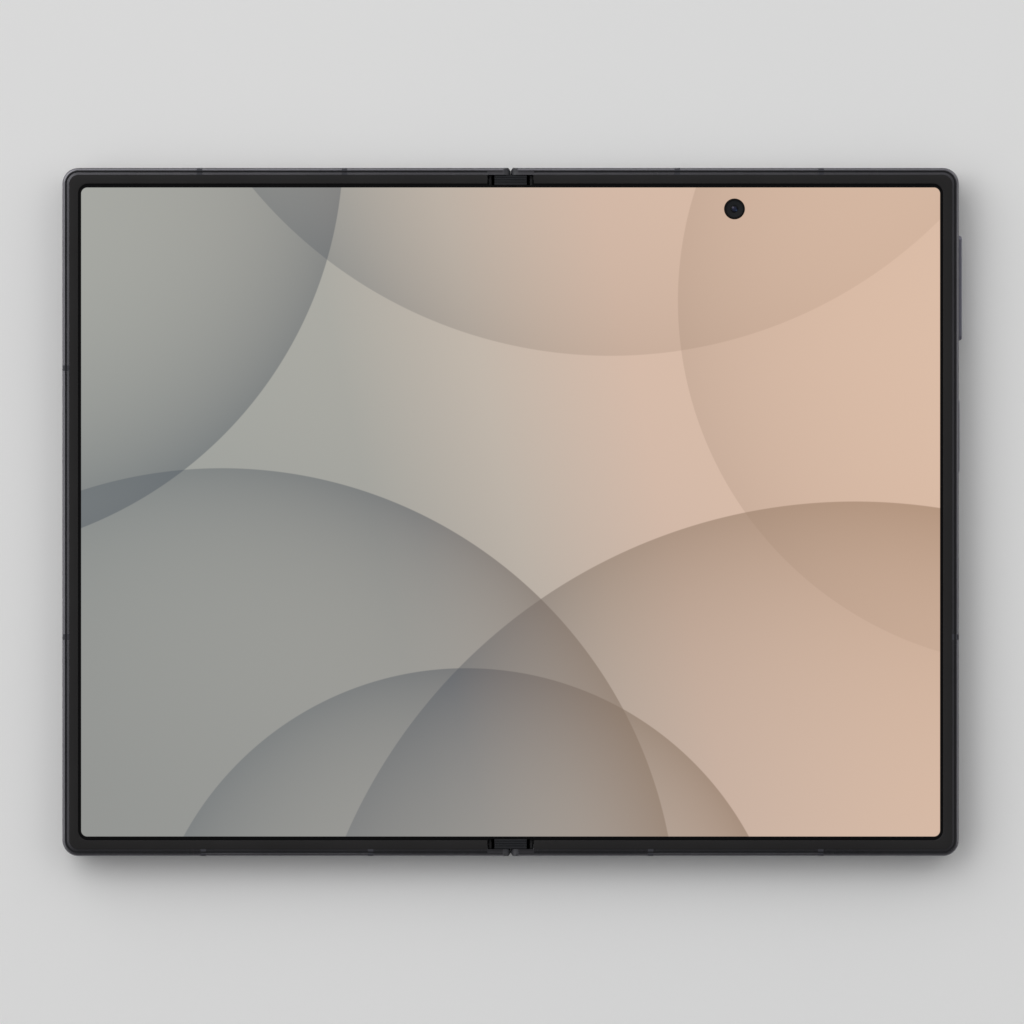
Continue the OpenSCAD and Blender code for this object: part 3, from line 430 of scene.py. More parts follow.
@dataclass(frozen=True)
class LitScreen(Finish):
    """The lit display: a soft picture of overlapping discs inside a black border."""

    name: str = "lit_screen"
    slot: Slot = Slot.SCREEN
    lit_x: float = 77.3
    lit_y: float = 58.4
    corner: float = 1.1
    camera: Flat = CAMERA_AT
    camera_r: float = 1.88
    slant: float = 0.22
    spread: float = 92
    low_range: Flat = (-50, 62)
    low_share: float = 0.55
    low: Rgb = (118, 122, 124)
    fade_slant: float = 0.3
    fade_range: Flat = (-110, 120)
    faintest: float = 0.4
    edge: float = 0.22
    gleam: Rgb = (232, 214, 200)
    border: Rgb = (14, 14, 15)
    border_drift: Rgb = (10, 10, 11)
    dunes: tuple[Dune, ...] = (
        Dune(-104, 66, 74, 20, 0.62, 0.05),
        Dune(18, 112, 84, 24, 0.42, 0.04),
        Dune(96, 38, 66, 30, 0.46, 0.04),
        Dune(-52, -74, 82, 19, 1.0, 0.06),
        Dune(62, -98, 100, 26, 0.85, 0.05),
        Dune(-8, -86, 58, 16, 0.95, 0.04),
    )
    base: tuple[Stop, ...] = (
        (0.0, (164, 167, 162)), (0.3, (170, 169, 162)), (0.5, (194, 183, 171)),
        (0.72, (214, 187, 169)), (1.0, (220, 189, 167)))
    shades: tuple[Stop, ...] = (
        (0.0, (78, 88, 97)), (0.36, (82, 88, 96)), (0.62, (138, 119, 103)), (1.0, (170, 139, 116)))

    def build(self, sh: Shader) -> Material:
        """Builds the picture from the sheet's own UV map, in millimetres.

        Args:
            sh: An empty shader.

        Returns:
            The material.
        """
        u, v, _ = sh.split(sh.node("UVMap", {"uv_map": "sheet"}))
        x = (u - 0.5) * PAGE[0]
        y = (v - 0.5) * PAGE[1]
        wide = sh.smooth(x + y * self.slant, -self.spread, self.spread)
        colour = sh.ramp(wide, self.base)
        shade = sh.ramp(wide, self.shades)
        colour = sh.mix(colour, self.low, sh.smooth(y * -1, *self.low_range) * (1 - wide) * self.low_share)
        for dune in self.dunes:
            inside = dune.radius - sh.far(x, y, (dune.x, dune.y))
            edge = sh.smooth(inside, 0, self.edge)
            fall = sh.math("EXPONENT", inside * (-1 / dune.fade)) * edge
            along = sh.smooth(x * math.copysign(1, -dune.y) + y * self.fade_slant, *self.fade_range)
            along = along * (1 - self.faintest) + self.faintest
            colour = sh.mix(colour, shade, fall * along * dune.shade)
            colour = sh.mix(colour, self.gleam, edge * (1 - fall) * dune.tint)
        outside = sh.beyond(x, y, self.lit_x, self.lit_y, self.corner)
        hole = sh.far(x, y, self.camera) - self.camera_r
        lit = (1 - sh.smooth(outside, -0.05, 0.05)) * sh.smooth(hole, -0.04, 0.04)
        fine = sh.noise(0.5, 2.0)
        return sh.surface(
            Base_Color=sh.mix(self.border, self.border_drift, fine),
            Roughness=0.12 + fine * 0.06,
            Specular_IOR_Level=0.22,
            Emission_Color=sh.mix((0, 0, 0), colour, lit),
            Emission_Strength=1.0,
            Normal=sh.bump(fine, 0.0004),
        )


@dataclass(frozen=True)
class BackGlass(Finish):
    """Satin glass over a dark coating, a little lighter towards one corner."""

    name: str = "satin_back_glass"
    slot: Slot = Slot.BACK
    dark: Rgb = (38, 39, 44)
    light: Rgb = (58, 60, 68)

    def build(self, sh: Shader) -> Material:
        """Builds a slow gradient with a fine etched grain.

        Args:
            sh: An empty shader.

        Returns:
            The material.
        """
        x, y, _ = sh.split(sh.place())
        slope = sh.smooth(x * 6 + y * 5, -0.2, 0.8)
        etched = sh.noise(0.09, 2.0)
        cloud = sh.noise(22, 2.0)
        return sh.surface(
            Base_Color=sh.mix(self.dark, self.light, slope * 0.8 + cloud * 0.2),
            Roughness=0.34 + (etched - 0.5) * 0.12,
            Coat_Weight=0.25,
            Coat_Roughness=0.3,
            Normal=sh.bump(etched, 0.0015),
        )


@dataclass(frozen=True)
class BoardGreen(Finish):
    """Solder mask over copper tracks, with ground copper between them."""

    name: str = "solder_mask_board"
    slot: Slot = Slot.BOARD
    mask: Rgb = (14, 62, 48)
    track: Rgb = (30, 92, 66)
    gold: Rgb = (190, 160, 90)

    def build(self, sh: Shader) -> Material:
        """Builds tracks from two brick patterns and vias from cells.

        Args:
            sh: An empty shader.

        Returns:
            The material.
        """
        wide = sh.node("TexBrick", {"offset": 0.37}, {
            "Vector": sh.place(), "Scale": 420.0, "Mortar Size": 0.03, "Brick Width": 1.7,
            "Row Height": 0.28})
        tall = sh.node("TexBrick", {"offset": 0.31}, {
            "Vector": sh.place(turn=(0, 0, math.pi / 2)), "Scale": 380.0, "Mortar Size": 0.03,
            "Brick Width": 1.3, "Row Height": 0.4})
        tracks = sh.math("MAXIMUM", Value(sh, wide.outputs["Fac"]), Value(sh, tall.outputs["Fac"]))
        cells = sh.node("TexVoronoi", {}, {"Vector": sh.place(), "Scale": 900.0})
        via = sh.below(Value(sh, cells.outputs["Distance"]), 0.2, 0.06)
        green = sh.mix(self.mask, self.track, tracks)
        return sh.surface(
            Base_Color=sh.mix(green, self.gold, via),
            Metallic=via * 0.9,
            Roughness=0.42 - tracks * 0.08,
            Normal=sh.bump(tracks, 0.03),
        )


@dataclass(frozen=True)
class BatteryWrap(Finish):
    """Black wrapped cell with soft folds."""

    name: str = "battery_wrap"
    slot: Slot = Slot.BATTERY
    dark: Rgb = (44, 45, 48)
    light: Rgb = (64, 65, 69)

    def build(self, sh: Shader) -> Material:
        """Builds a foil with soft folds and a fine grain.

        Args:
            sh: An empty shader.

        Returns:
            The material.
        """
        fold = sh.noise(6, 3.0, (1, 4, 1))
        fine = sh.noise(0.2, 2.0)
        return sh.surface(
            Base_Color=sh.mix(self.dark, self.light, fold),
            Metallic=0.35,
            Roughness=0.38 + (fine - 0.5) * 0.15,
            Normal=sh.bump(fold + fine * 0.1, 0.06),
        )


@dataclass(frozen=True)
class Rings(Finish):
    """Dark glass or black metal whose tone changes ring by ring round each axis, with painted highlights
    where given.
    """

    name: str
    slot: Slot
    centres: tuple[Flat, ...]
    reach: float
    tones: tuple[Stop, ...]
    roughness: float = 0.06
    specular: float = 0.7
    coat: float = 1.0
    painted_glints: tuple[tuple[Flat, float, Rgb], ...] = ()

    def build(self, sh: Shader) -> Material:
        """Builds a tone by the distance from the nearest axis, with soft painted highlights in it.

        Args:
            sh: An empty shader.

        Returns:
            The material.
        """
        x, y, _ = sh.plan()
        near = sh.far(x, y, self.centres[0])
        for centre in self.centres[1:]:
            near = sh.math("MINIMUM", near, sh.far(x, y, centre))
        tone = sh.ramp(near * (1 / self.reach), self.tones)
        # Painted highlights: lighter spots mixed into the tone.
        for place, radius, colour in self.painted_glints:
            tone = sh.mix(tone, colour, sh.below(sh.far(x, y, place), radius, radius))
        swirl = sh.noise(1.3, 1.0)
        return sh.surface(
            Base_Color=sh.mix(tone, (0, 0, 0), swirl * 0.15),
            Roughness=self.roughness + swirl * 0.03,
            Specular_IOR_Level=self.specular,
            Coat_Weight=self.coat,
            Coat_Roughness=0.02,
        )


@dataclass(frozen=True)
class CoverScreen(Finish):
    """Polished glass over a dark display, with a black border and a camera's round window."""

    name: str = "glass_over_cover_display"
    slot: Slot = Slot.COVER
    middle: float = -42.35
    half_x: float = 34.9
    half_y: float = 58.4
    corner: float = 2.6
    camera: Flat = (-42.0, 55.95)
    window_r: float = 1.9
    lens_r: float = 0.8
    panel: Rgb = (17, 17, 20)
    border: Rgb = (7, 7, 8)
    window: Rgb = (2, 2, 3)
    lens: Rgb = (26, 36, 62)

    def build(self, sh: Shader) -> Material:
        """Builds the border, the display's tone and the camera's rings.

        Args:
            sh: An empty shader.

        Returns:
            The material.
        """
        x, y, _ = sh.plan()
        outside = sh.beyond(x - self.middle, y, self.half_x, self.half_y, self.corner)
        from_lens = sh.far(x, y, self.camera)
        tone = sh.mix(self.panel, self.border, sh.smooth(outside, -0.08, 0.08))
        window = sh.below(from_lens, self.window_r, 0.1)
        lens = sh.below(from_lens, self.lens_r, 0.3)
        tone = sh.mix(sh.mix(tone, self.window, window), self.lens, lens)
        fine = sh.noise(3.0, 2.0)
        return sh.surface(
            Base_Color=tone,
            Roughness=0.06 + fine * 0.03,
            Coat_Weight=0.6,
            Coat_Roughness=0.03,
            Normal=sh.bump(fine, 0.0003),
        )


@dataclass(frozen=True)
class ClearGlass(Finish):
    """Clear cover glass with a faint cloud in its gloss."""

    name: str = "clear_lens_cover"
    slot: Slot = Slot.LENS
    tint: Rgb = (236, 240, 244)
    cloudy: Rgb = (224, 230, 238)

    def build(self, sh: Shader) -> Material:
        """Builds a clear glass.

        Args:
            sh: An empty shader.

        Returns:
            The material.
        """
        cloud = sh.noise(2.5, 2.0)
        return sh.surface(
            Base_Color=sh.mix(self.tint, self.cloudy, cloud),
            Roughness=0.015 + cloud * 0.01,
            Transmission_Weight=1.0,
            IOR=1.45,
        )


@dataclass(frozen=True)
class FoilCable(Finish):
    """Amber film with thin copper tracks along it."""

    name: str = "foil_cable"
    slot: Slot = Slot.COPPER
    film: Rgb = (176, 104, 40)
    copper: Rgb = (205, 140, 78)
    pitch: float = 0.5

    def build(self, sh: Shader) -> Material:
        """Builds tracks along X.

        Args:
            sh: An empty shader.

        Returns:
            The material.
        """
        _, y, _ = sh.split(sh.place())
        wave = sh.math("FRACT", y * (1 / (self.pitch * MM)) + 100)
        track = sh.smooth(abs(wave - 0.5), 0.2, 0.26)
        fine = sh.noise(0.3, 2.0)
        return sh.surface(
            Base_Color=sh.mix(self.film, self.copper, track * 0.8 + fine * 0.2),
            Metallic=track * 0.6,
            Roughness=0.35 + fine * 0.1,
            Normal=sh.bump(track, 0.01),
        )


@dataclass(frozen=True)
class FrameMetal(Finish):
    """Anodised metal with painted shade: black in the hinge's pocket and a dull dark grey on the noses at the
    fold, which damps their highlight; also darker beside the fold.
    """

    name: str = "frame_anodised"
    slot: Slot = Slot.FRAME
    metal: Rgb = (109, 108, 112)
    drift: Rgb = (116, 115, 119)
    # Tone of the painted shade in the pocket; the band beside the fold also darkens towards it.
    black: Rgb = (14, 14, 16)
    lip: float = 0.42
    lip_fall: float = 0.11
    pocket_x: float = 5.6
    pocket_y: float = 60.65
    floor_z: float = 2.45
    band_x: float = 4.2
    band_y: float = 61.35
    nose_x: float = 1.3
    nose_z: float = 5.0
    # Dull dark grey of the painted shade on the noses at the fold.
    nose_shade: Rgb = (52, 52, 56)
    soft: float = 0.05

    def build(self, sh: Shader) -> Material:
        """Builds a grained metal with painted shade in the pocket and on the noses, a darker band beside the
        fold and a lip that leans outwards.

        Args:
            sh: An empty shader.

        Returns:
            The material.
        """
        x, y, z = sh.plan()
        across, along = abs(x), abs(y)
        # Painted shade: the hinge's pocket inside the frame turns black above its floor.
        pocket_shade = sh.below(across, self.pocket_x, self.soft) * sh.below(along, self.pocket_y, self.soft)
        pocket_shade *= sh.smooth(z, self.floor_z, self.floor_z + self.soft)
        top = sh.smooth(z, self.nose_z, self.nose_z + 0.3)
        band = sh.below(across, self.band_x, self.soft) * sh.below(along, self.band_y, 2 * self.soft) * top
        # Painted shade: the rounded noses at the fold lose their metal shine and darken, which damps their
        # highlight.
        nose_shade = sh.below(across, self.nose_x + 0.2, 0.4) * top
        shade = sh.math("MAXIMUM", pocket_shade, band * (1 - nose_shade) * 0.3)
        from_rim = sh.beyond(x, y, *RIM_HALF, RIM_R)
        fallen = sh.math("MINIMUM", sh.math("MAXIMUM", from_rim, 0), self.lip) * self.lip_fall
        fine = sh.noise(0.1, 3.0)
        slow = sh.noise(14.0, 2.0)
        metal = sh.grained(self.metal, self.drift, fine, slow)
        return sh.surface(
            Base_Color=sh.mix(sh.mix(metal, self.nose_shade, nose_shade), self.black, shade),
            Metallic=1 - sh.math("MAXIMUM", pocket_shade, nose_shade),
            Roughness=0.27 + sh.math("MAXIMUM", shade, nose_shade * 0.8) * 0.3 + (fine - 0.5) * 0.05,
            Normal=sh.bump(fine * 0.0012 - fallen, 1.0),
        )


@dataclass(frozen=True)
class CoverShell(Finish):
    """Anodised metal whose lips under the screen are blackened: a black inside, darkened further as painted
    shade in the slit between the halves.
    """

    name: str = "hinge_cover_metal"
    slot: Slot = Slot.FRAME
    lips: float = 4.9
    metal: Rgb = (112, 112, 121)
    drift: Rgb = (119, 119, 128)
    black: Rgb = (16, 16, 18)

    def build(self, sh: Shader) -> Material:
        """Builds a grained metal that turns black above the lips' height, partly as painted shade.

        Args:
            sh: An empty shader.

        Returns:
            The material.
        """
        _, _, z = sh.plan()
        # Painted shade: black above the lips' height, where the slit between the halves lies in shade.
        dark = sh.smooth(z, self.lips, self.lips + 0.1)
        fine = sh.noise(0.1, 3.0)
        metal = sh.mix(self.metal, self.drift, fine)
        return sh.surface(
            Base_Color=sh.mix(metal, self.black, dark),
            Metallic=1 - dark,
            Roughness=0.3 + dark * 0.25 + (fine - 0.5) * 0.05,
            Normal=sh.bump(fine, 0.0012),
        )


@dataclass(frozen=True)
class Studio(Finish):
    """Plain pale floor with a faint cloud of tone."""

    name: str = "studio_floor"
    slot: Slot = Slot.FRAME
    pale: Rgb = (247, 247, 245)
    cloudy: Rgb = (243, 243, 242)

    def build(self, sh: Shader) -> Material:
        """Builds the floor's paint.

        Args:
            sh: An empty shader.

        Returns:
            The material.
        """
        cloud = sh.noise(180, 2.0)
        return sh.surface(
            Base_Color=sh.mix(self.pale, self.cloudy, cloud),
            Roughness=0.85,
            Specular_IOR_Level=0.2,
        )


ANODISED = Grained("graphite_anodised", Slot.FRAME, (109, 108, 112), (116, 115, 119), metallic=1.0,
                   roughness=0.27, spread=0.05, grain=0.1, relief=0.0012)
KEY_METAL = Grained("key_anodised", Slot.FRAME, (132, 132, 143), (140, 140, 151), metallic=1.0,
                    roughness=0.55, spread=0.07, grain=0.1, relief=0.0015)
ANTENNA = Grained("antenna_plastic", Slot.ANTENNA, (54, 54, 60), (58, 58, 64), roughness=0.5,
                  grain=0.15, relief=0.002, specular=0.35)
RIM = Grained("rim_plastic", Slot.RIM, (33, 32, 32), (37, 36, 36), roughness=0.6, spread=0.12,
              grain=0.14, relief=0.006, specular=0.2)
# Near-black finish of the strip of painted shade that lies in the frame's groove.
GROOVE_SHADE = Grained("groove_painted_shade", Slot.RIM, (20, 20, 23), (25, 25, 28), roughness=0.55, spread=0.12,
                grain=0.14, relief=0.004, specular=0.3)
CAP = Grained("cap_plastic", Slot.RIM, (27, 28, 31), (32, 33, 37), roughness=0.5, spread=0.1,
              grain=0.12, relief=0.004, specular=0.3)
STEEL = Grained("brushed_steel", Slot.STEEL, (158, 160, 164), (174, 176, 180), metallic=1.0,
                roughness=0.32, spread=0.2, grain=0.05, stretch=(1, 30, 1), relief=0.003)
RING_STEEL = Grained("ring_steel", Slot.STEEL, (120, 122, 130), (134, 136, 144), metallic=1.0,
                     roughness=0.24, spread=0.12, grain=0.06, relief=0.002)
ISLAND = Grained("island_satin", Slot.ISLAND, (62, 64, 72), (70, 72, 80), metallic=0.9,
                 roughness=0.38, spread=0.08, grain=0.1, relief=0.002)
BLACK = Grained("black_moulding", Slot.BLACK, (26, 26, 28), (33, 33, 36), roughness=0.5, spread=0.15,
                grain=0.2, relief=0.008)
BARREL = Grained("barrel_black", Slot.LENS, (14, 14, 16), (19, 19, 22), roughness=0.45, spread=0.1,
                 grain=0.12, relief=0.004, specular=0.4)
FLASH = Grained("flash_diffuser", Slot.FLASH, (226, 214, 168), (238, 230, 196), roughness=0.25,
                spread=0.1, grain=0.3, relief=0.01, coat=0.5)
COPPER = Grained("bare_copper", Slot.COPPER, (196, 120, 78), (214, 142, 98), metallic=1.0,
                 roughness=0.3, spread=0.15, grain=0.08, relief=0.002)
GOLD = Grained("gold_contacts", Slot.COPPER, (222, 184, 110), (232, 198, 130), metallic=1.0,
               roughness=0.25, spread=0.1, grain=0.1, relief=0.001)
GEAR = Grained("gear_alloy", Slot.GEAR, (178, 164, 126), (192, 178, 140), metallic=1.0,
               roughness=0.34, spread=0.15, grain=0.06, relief=0.003)


# ---- Meshes ----


def put(name: str, data: bpy.types.ID) -> Item:
    """Makes an object at the origin.

    Args:
        name: Its name.
        data: What it holds: a mesh, a light or a camera.

    Returns:
        The new object.
    """
    item = bpy.data.objects.new(name, data)
    bpy.context.scene.collection.objects.link(item)
    return item


def dress(mesh: Mesh, finish: Finish) -> None:
    """Gives a mesh a finish as its only material."""
    mesh.materials.clear()
    mesh.materials.append(finish.material())


def modify(piece: Item, kind: str, **settings: object) -> None:
    """Adds a modifier.

    Args:
        piece: The object.
        kind: The modifier's type.
        settings: Its settings, set in this order.
    """
    modifier = piece.modifiers.new(kind.lower(), kind)
    for key, value in settings.items():
        setattr(modifier, key, value)


def mend(mesh: Mesh, merge: float = 1e-7, flat: float = 0.0, fill: bool = False) -> None:
    """Merges doubles and turns the faces outwards.

    Args:
        mesh: The mesh.
        merge: Points closer than this many metres become one.
        flat: Faces that meet within this many degrees become one, unless it is 0.
        fill: Whether open ends are closed.
    """
    work = bmesh.new()
    work.from_mesh(mesh)
    bmesh.ops.remove_doubles(work, verts=work.verts, dist=merge)
    if flat:
        bmesh.ops.dissolve_limit(work, angle_limit=math.radians(flat), verts=work.verts, edges=work.edges)
    if fill:
        bmesh.ops.holes_fill(work, edges=[e for e in work.edges if e.is_boundary], sides=0)
    bmesh.ops.recalc_face_normals(work, faces=work.faces)
    work.to_mesh(mesh)
    work.free()


def add_object(name: str, mesh: Mesh, finish: Finish, angle: float = 30.0) -> Item:
    """Makes an object at the origin with a finish and smooth shading.

    Args:
        name: The piece's name.
        mesh: Its mesh, in metres.
        finish: Its finish.
        angle: Edges sharper than this many degrees stay sharp.

    Returns:
        The new object.
    """
    piece = put(name, mesh)
    dress(mesh, finish)
    for polygon in mesh.polygons:
        polygon.material_index = 0
    mesh.shade_smooth()
    mesh.set_sharp_from_angle(angle=math.radians(angle))
    return piece


def settle(piece: Item, body: Body, slot: Slot, *nodes: str) -> None:
    """Rides a piece on a body and hides what it stands for.

    Args:
        piece: The piece.
        body: The CAD body that carries it.
        slot: The record's material slot; not used.
        nodes: CAD nodes that it replaces.
    """
    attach(piece, body.value)
    if nodes:
        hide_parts(*nodes)
    LOG.info("%s rides on %s (%d faces)", piece.name, body.value, len(piece.data.polygons))


def bake(piece: Item, finish: Finish, angle: Optional[float] = None) -> Item:
    """Replaces an object that has modifiers by a plain mesh of its result.

    Args:
        piece: The object with modifiers.
        finish: The finish of the result.
        angle: Sharp angle in degrees, or nothing to keep the normals as they come.

    Returns:
        The plain object, with the same name.
    """
    name = piece.name
    graph = bpy.context.evaluated_depsgraph_get()
    mesh = bpy.data.meshes.new_from_object(piece.evaluated_get(graph), depsgraph=graph)
    bpy.data.objects.remove(piece)
    if angle is not None:
        return add_object(name, mesh, finish, angle)
    dress(mesh, finish)
    return put(name, mesh)


def copy_node(node: str, name: str, finish: Finish, body: Body, bevel: float = 0.0,
              angle: float = 24.0) -> None:
    """Makes a merged, smooth copy of a CAD node that stands for it.

    Its large flat faces set the shading beside the small rounded ones.

    Args:
        node: The CAD node.
        name: The copy's name.
        finish: Its finish.
        body: The body that carries it.
        bevel: Width of a small round on its sharp edges, in millimetres.
        angle: Sharp angle in degrees.
    """
    mesh = frame["nodes"][node].data.copy()
    mend(mesh, 1e-6, flat=0.5)
    piece = add_object(name, mesh, finish, angle)
    if bevel:
        modify(piece, "BEVEL", width=bevel * MM, segments=3, limit_method="ANGLE",
               angle_limit=math.radians(35))
    modify(piece, "WEIGHTED_NORMAL", mode="FACE_AREA", weight=100, keep_sharp=True)
    settle(bake(piece, finish), body, finish.slot, node)


def mesh_from(verts: Iterable[Point], faces: Iterable[Sequence[int]], name: str) -> Mesh:
    """Makes a mesh with outward faces from points in millimetres.

    Args:
        verts: The points.
        faces: Indices of each face.
        name: The mesh's name.

    Returns:
        The mesh.
    """
    mesh = bpy.data.meshes.new(name)
    mesh.from_pydata([tuple(c * MM for c in v) for v in verts], [], list(faces))
    mend(mesh)
    return mesh


def points_mesh(points: Iterable[Point], linked: bool = False) -> Mesh:
    """Makes a mesh of points in millimetres, as the base of a tree.

    Args:
        points: The points.
        linked: Whether each point is joined to the next one.

    Returns:
        The mesh.
    """
    listed = [tuple(c * MM for c in p) for p in points]
    edges = [(i, i + 1) for i in range(len(listed) - 1)] if linked else []
    mesh = bpy.data.meshes.new("base")
    mesh.from_pydata(listed, edges, [])
    return mesh


def lathe(profile: Sequence[Flat], centres: Sequence[Flat], segments: int, name: str) -> Mesh:
    """Turns a profile about upright axes.

    Args:
        profile: Radius and height of its points, from the axis round to the axis.
        centres: The axes' places.
        segments: Steps round each axis.
        name: The mesh's name.

    Returns:
        One mesh with a closed solid on each axis.
    """
    verts: list[Point] = []
    faces: list[list[int]] = []
    for cx, cy in centres:
        rings: list[list[int]] = []
        for radius, height in profile:
            count = segments if radius > 0 else 1
            start = len(verts)
            for a in (2 * math.pi * i / segments for i in range(count)):
                verts.append((cx + radius * math.cos(a), cy + radius * math.sin(a), height))
            rings.append([start + i % count for i in range(segments)])
        for low, high in zip(rings, rings[1:]):
            for i in range(segments):
                j = (i + 1) % segments
                faces.append(list(dict.fromkeys([low[i], low[j], high[j], high[i]])))
    return mesh_from(verts, [f for f in faces if len(f) > 2], name)


def turned(name: str, profile: Sequence[Flat], centres: Sequence[Flat], segments: int, finish: Finish,
           *nodes: str, angle: float = 30.0) -> None:
    """Turns a profile into a piece of the right half; see lathe, add_object and settle."""
    piece = add_object(name, lathe(profile, centres, segments, name), finish, angle)
    settle(piece, Body.RIGHT, finish.slot, *nodes)


def pad_data(width: float, length: float, half: float) -> tuple[list[Point], list[list[int]]]:
    """Gives a bevelled pad about the origin, in millimetres.

    Args:
        width: Its width along X.
        length: Its length along Y.
        half: Half its height along Z.

    Returns:
        Its points and faces.
    """
    inset = min(width, length) * 0.2
    verts: list[Point] = []
    for z, d in ((-half, inset), (-half * 0.4, 0.0), (half * 0.4, 0.0), (half, inset)):
        x, y = width / 2 - d, length / 2 - d
        verts += [(-x, -y, z), (x, -y, z), (x, y, z), (-x, y, z)]
    faces = [[3, 2, 1, 0], [12, 13, 14, 15]]
    for k in (0, 4, 8):
        for i, j in ((0, 1), (1, 2), (2, 3), (3, 0)):
            faces.append([k + i, k + j, k + 4 + j, k + 4 + i])
    return verts, faces


def corners(node: str) -> tuple[Vector, Vector]:
    """Returns the corners of a CAD node's box in millimetres."""
    low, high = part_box(node)
    return low / MM, high / MM


def spread(count: int) -> list[float]:
    """Returns places one apart, with their middle at 0."""
    return [i - (count - 1) / 2 for i in range(count)]


# ---- Geometry Nodes ----


class Growth(Nodes):
    """A Geometry Nodes tree with named inputs that dresses a base mesh."""

    prefix = "GeometryNode"

    def __init__(self, name: str) -> None:
        """Starts a tree with a geometry input and output.

        Args:
            name: Its name.
        """
        super().__init__(bpy.data.node_groups.new(name, "GeometryNodeTree"))
        for way in ("INPUT", "OUTPUT"):
            self.tree.interface.new_socket("Geometry", in_out=way, socket_type="NodeSocketGeometry")
        self.source = self.node("NodeGroupInput")
        self.sink = self.node("NodeGroupOutput")

    def input(self, name: str, kind: str) -> Socket:
        """Adds a named input."""
        self.tree.interface.new_socket(name, in_out="INPUT", socket_type="NodeSocket" + kind)
        return self.source.outputs[name]

    def other(self, name: str, whole: bool = False) -> Socket:
        """Adds an input for another object and gives its geometry, as one instance if whole."""
        info = self.node("ObjectInfo", {}, {"Object": self.input(name, "Object"), "As Instance": whole})
        return info.outputs["Geometry"]

    def rounded(self, line: Feed, radius: Feed, steps: Feed) -> Node:
        """Rounds the corners of a path.

        Args:
            line: The path, as edges.
            radius: The corners' radius.
            steps: The steps round a corner.

        Returns:
            The node that gives its points.
        """
        corners = {"Curve": self.node("MeshToCurve", {}, {0: line}), "Radius": radius, "Count": steps}
        return self.node("CurveToPoints", {"mode": "EVALUATED"}, {
            0: self.node("FilletCurve", {"mode": "POLY"}, corners)})

    def place_of(self, points: Feed, index: Feed) -> Node:
        """Looks up the place of a point by its index."""
        return self.node("SampleIndex", {"data_type": "FLOAT_VECTOR", "domain": "POINT"}, {
            "Geometry": points, "Value": self.node("InputPosition"), "Index": index})

    def copies(self, points: Feed, item: Feed, **inputs: Feed) -> Node:
        """Puts a copy of an item on each point."""
        return self.node("InstanceOnPoints", {}, {"Points": points, "Instance": item, **inputs})

    def close(self, geometry: Feed) -> "Growth":
        """Ends the tree: real geometry with the finish.

        Args:
            geometry: The last geometry.

        Returns:
            The tree itself.
        """
        real = self.node("RealizeInstances", {}, {0: geometry})
        dressed = self.node("SetMaterial", {}, {
            "Geometry": real, "Material": self.input("Finish", "Material")})
        self.feed(self.sink.inputs[0], dressed)
        return self

    def grow(self, name: str, base: Mesh, finish: Finish, values: dict) -> Item:
        """Runs the tree on a base mesh.

        Args:
            name: The piece's name.
            base: The mesh whose points or edges it follows.
            finish: The finish.
            values: The inputs by name, in metres.

        Returns:
            A plain object of the result.
        """
        piece = put(name, base)
        modifier = piece.modifiers.new("growth", "NODES")
        modifier.node_group = self.tree
        given = {**values, "Finish": finish.material()}
        for item in self.tree.interface.items_tree:
            if item.item_type == "SOCKET" and item.in_out == "INPUT" and item.name in given:
                modifier[item.identifier] = given[item.name]
        bpy.context.view_layer.update()
        return bake(piece, finish, 30.0)


@cache
def loft_tree() -> Growth:
    """Builds the tree that spans a profile between two paths with round corners.

    The base mesh is the outer path. Each point of the profile gives the share of the way to
    the inner path in x and the height in z.

    Returns:
        The tree, with inputs Inner path, Profile, Outer radius, Inner radius, Steps and Around.
    """
    tree = Growth("lofted_rim")
    steps, around = tree.input("Steps", "Int"), tree.input("Around", "Int")
    outer = tree.rounded(tree.source, tree.input("Outer radius", "Float"), steps)
    inner = tree.rounded(tree.other("Inner path"), tree.input("Inner radius", "Float"), steps)
    profile = tree.other("Profile")
    index = tree.node("InputIndex")
    row = tree.maths("FLOOR", tree.maths("DIVIDE", index, around))
    grid = tree.node("MeshGrid", {}, {
        "Vertices X": tree.maths("MULTIPLY_ADD", steps, 2.0, 4.0), "Vertices Y": around})
    shape = tree.place_of(profile, tree.maths("MODULO", index, around))
    parts = tree.node("ShaderNodeSeparateXYZ", {}, {0: shape})
    between = tree.node("ShaderNodeMix", {"data_type": "VECTOR"}, {
        0: parts, 4: tree.place_of(outer, row), 5: tree.place_of(inner, row)})
    height = tree.node("ShaderNodeCombineXYZ", {}, {2: parts.outputs[2]})
    place = tree.node("ShaderNodeVectorMath", {"operation": "ADD"}, {0: between.outputs[1], 1: height})
    return tree.close(tree.node("SetPosition", {}, {"Geometry": grid, "Position": place}))


@cache
def copies_tree() -> Growth:
    """Builds the tree that puts a copy of one object on each point.

    Returns:
        The tree, with inputs Item, Turn and Size.
    """
    tree = Growth("copies_on_points")
    item = tree.other("Item", whole=True)
    return tree.close(tree.copies(tree.source, item, Rotation=tree.input("Turn", "Vector"),
                                  Scale=tree.input("Size", "Vector")))


@cache
def coil_tree() -> Growth:
    """Builds the tree that winds a wire at each point, flat or drawn out.

    Returns:
        The tree, with inputs Inner, Outer, Length, Turns, Wire and Turn.
    """
    tree = Growth("wound_wire")
    spiral = tree.node("CurveSpiral", {}, {
        "Resolution": 40, "Rotations": tree.input("Turns", "Float"),
        "Start Radius": tree.input("Inner", "Float"), "End Radius": tree.input("Outer", "Float"),
        "Height": tree.input("Length", "Float")})
    wire = tree.node("CurvePrimitiveCircle", {"mode": "RADIUS"}, {
        "Resolution": 8, "Radius": tree.input("Wire", "Float")})
    wound = tree.node("CurveToMesh", {}, {"Curve": spiral, "Profile Curve": wire, "Fill Caps": True})
    return tree.close(tree.copies(tree.source, wound, Rotation=tree.input("Turn", "Vector")))


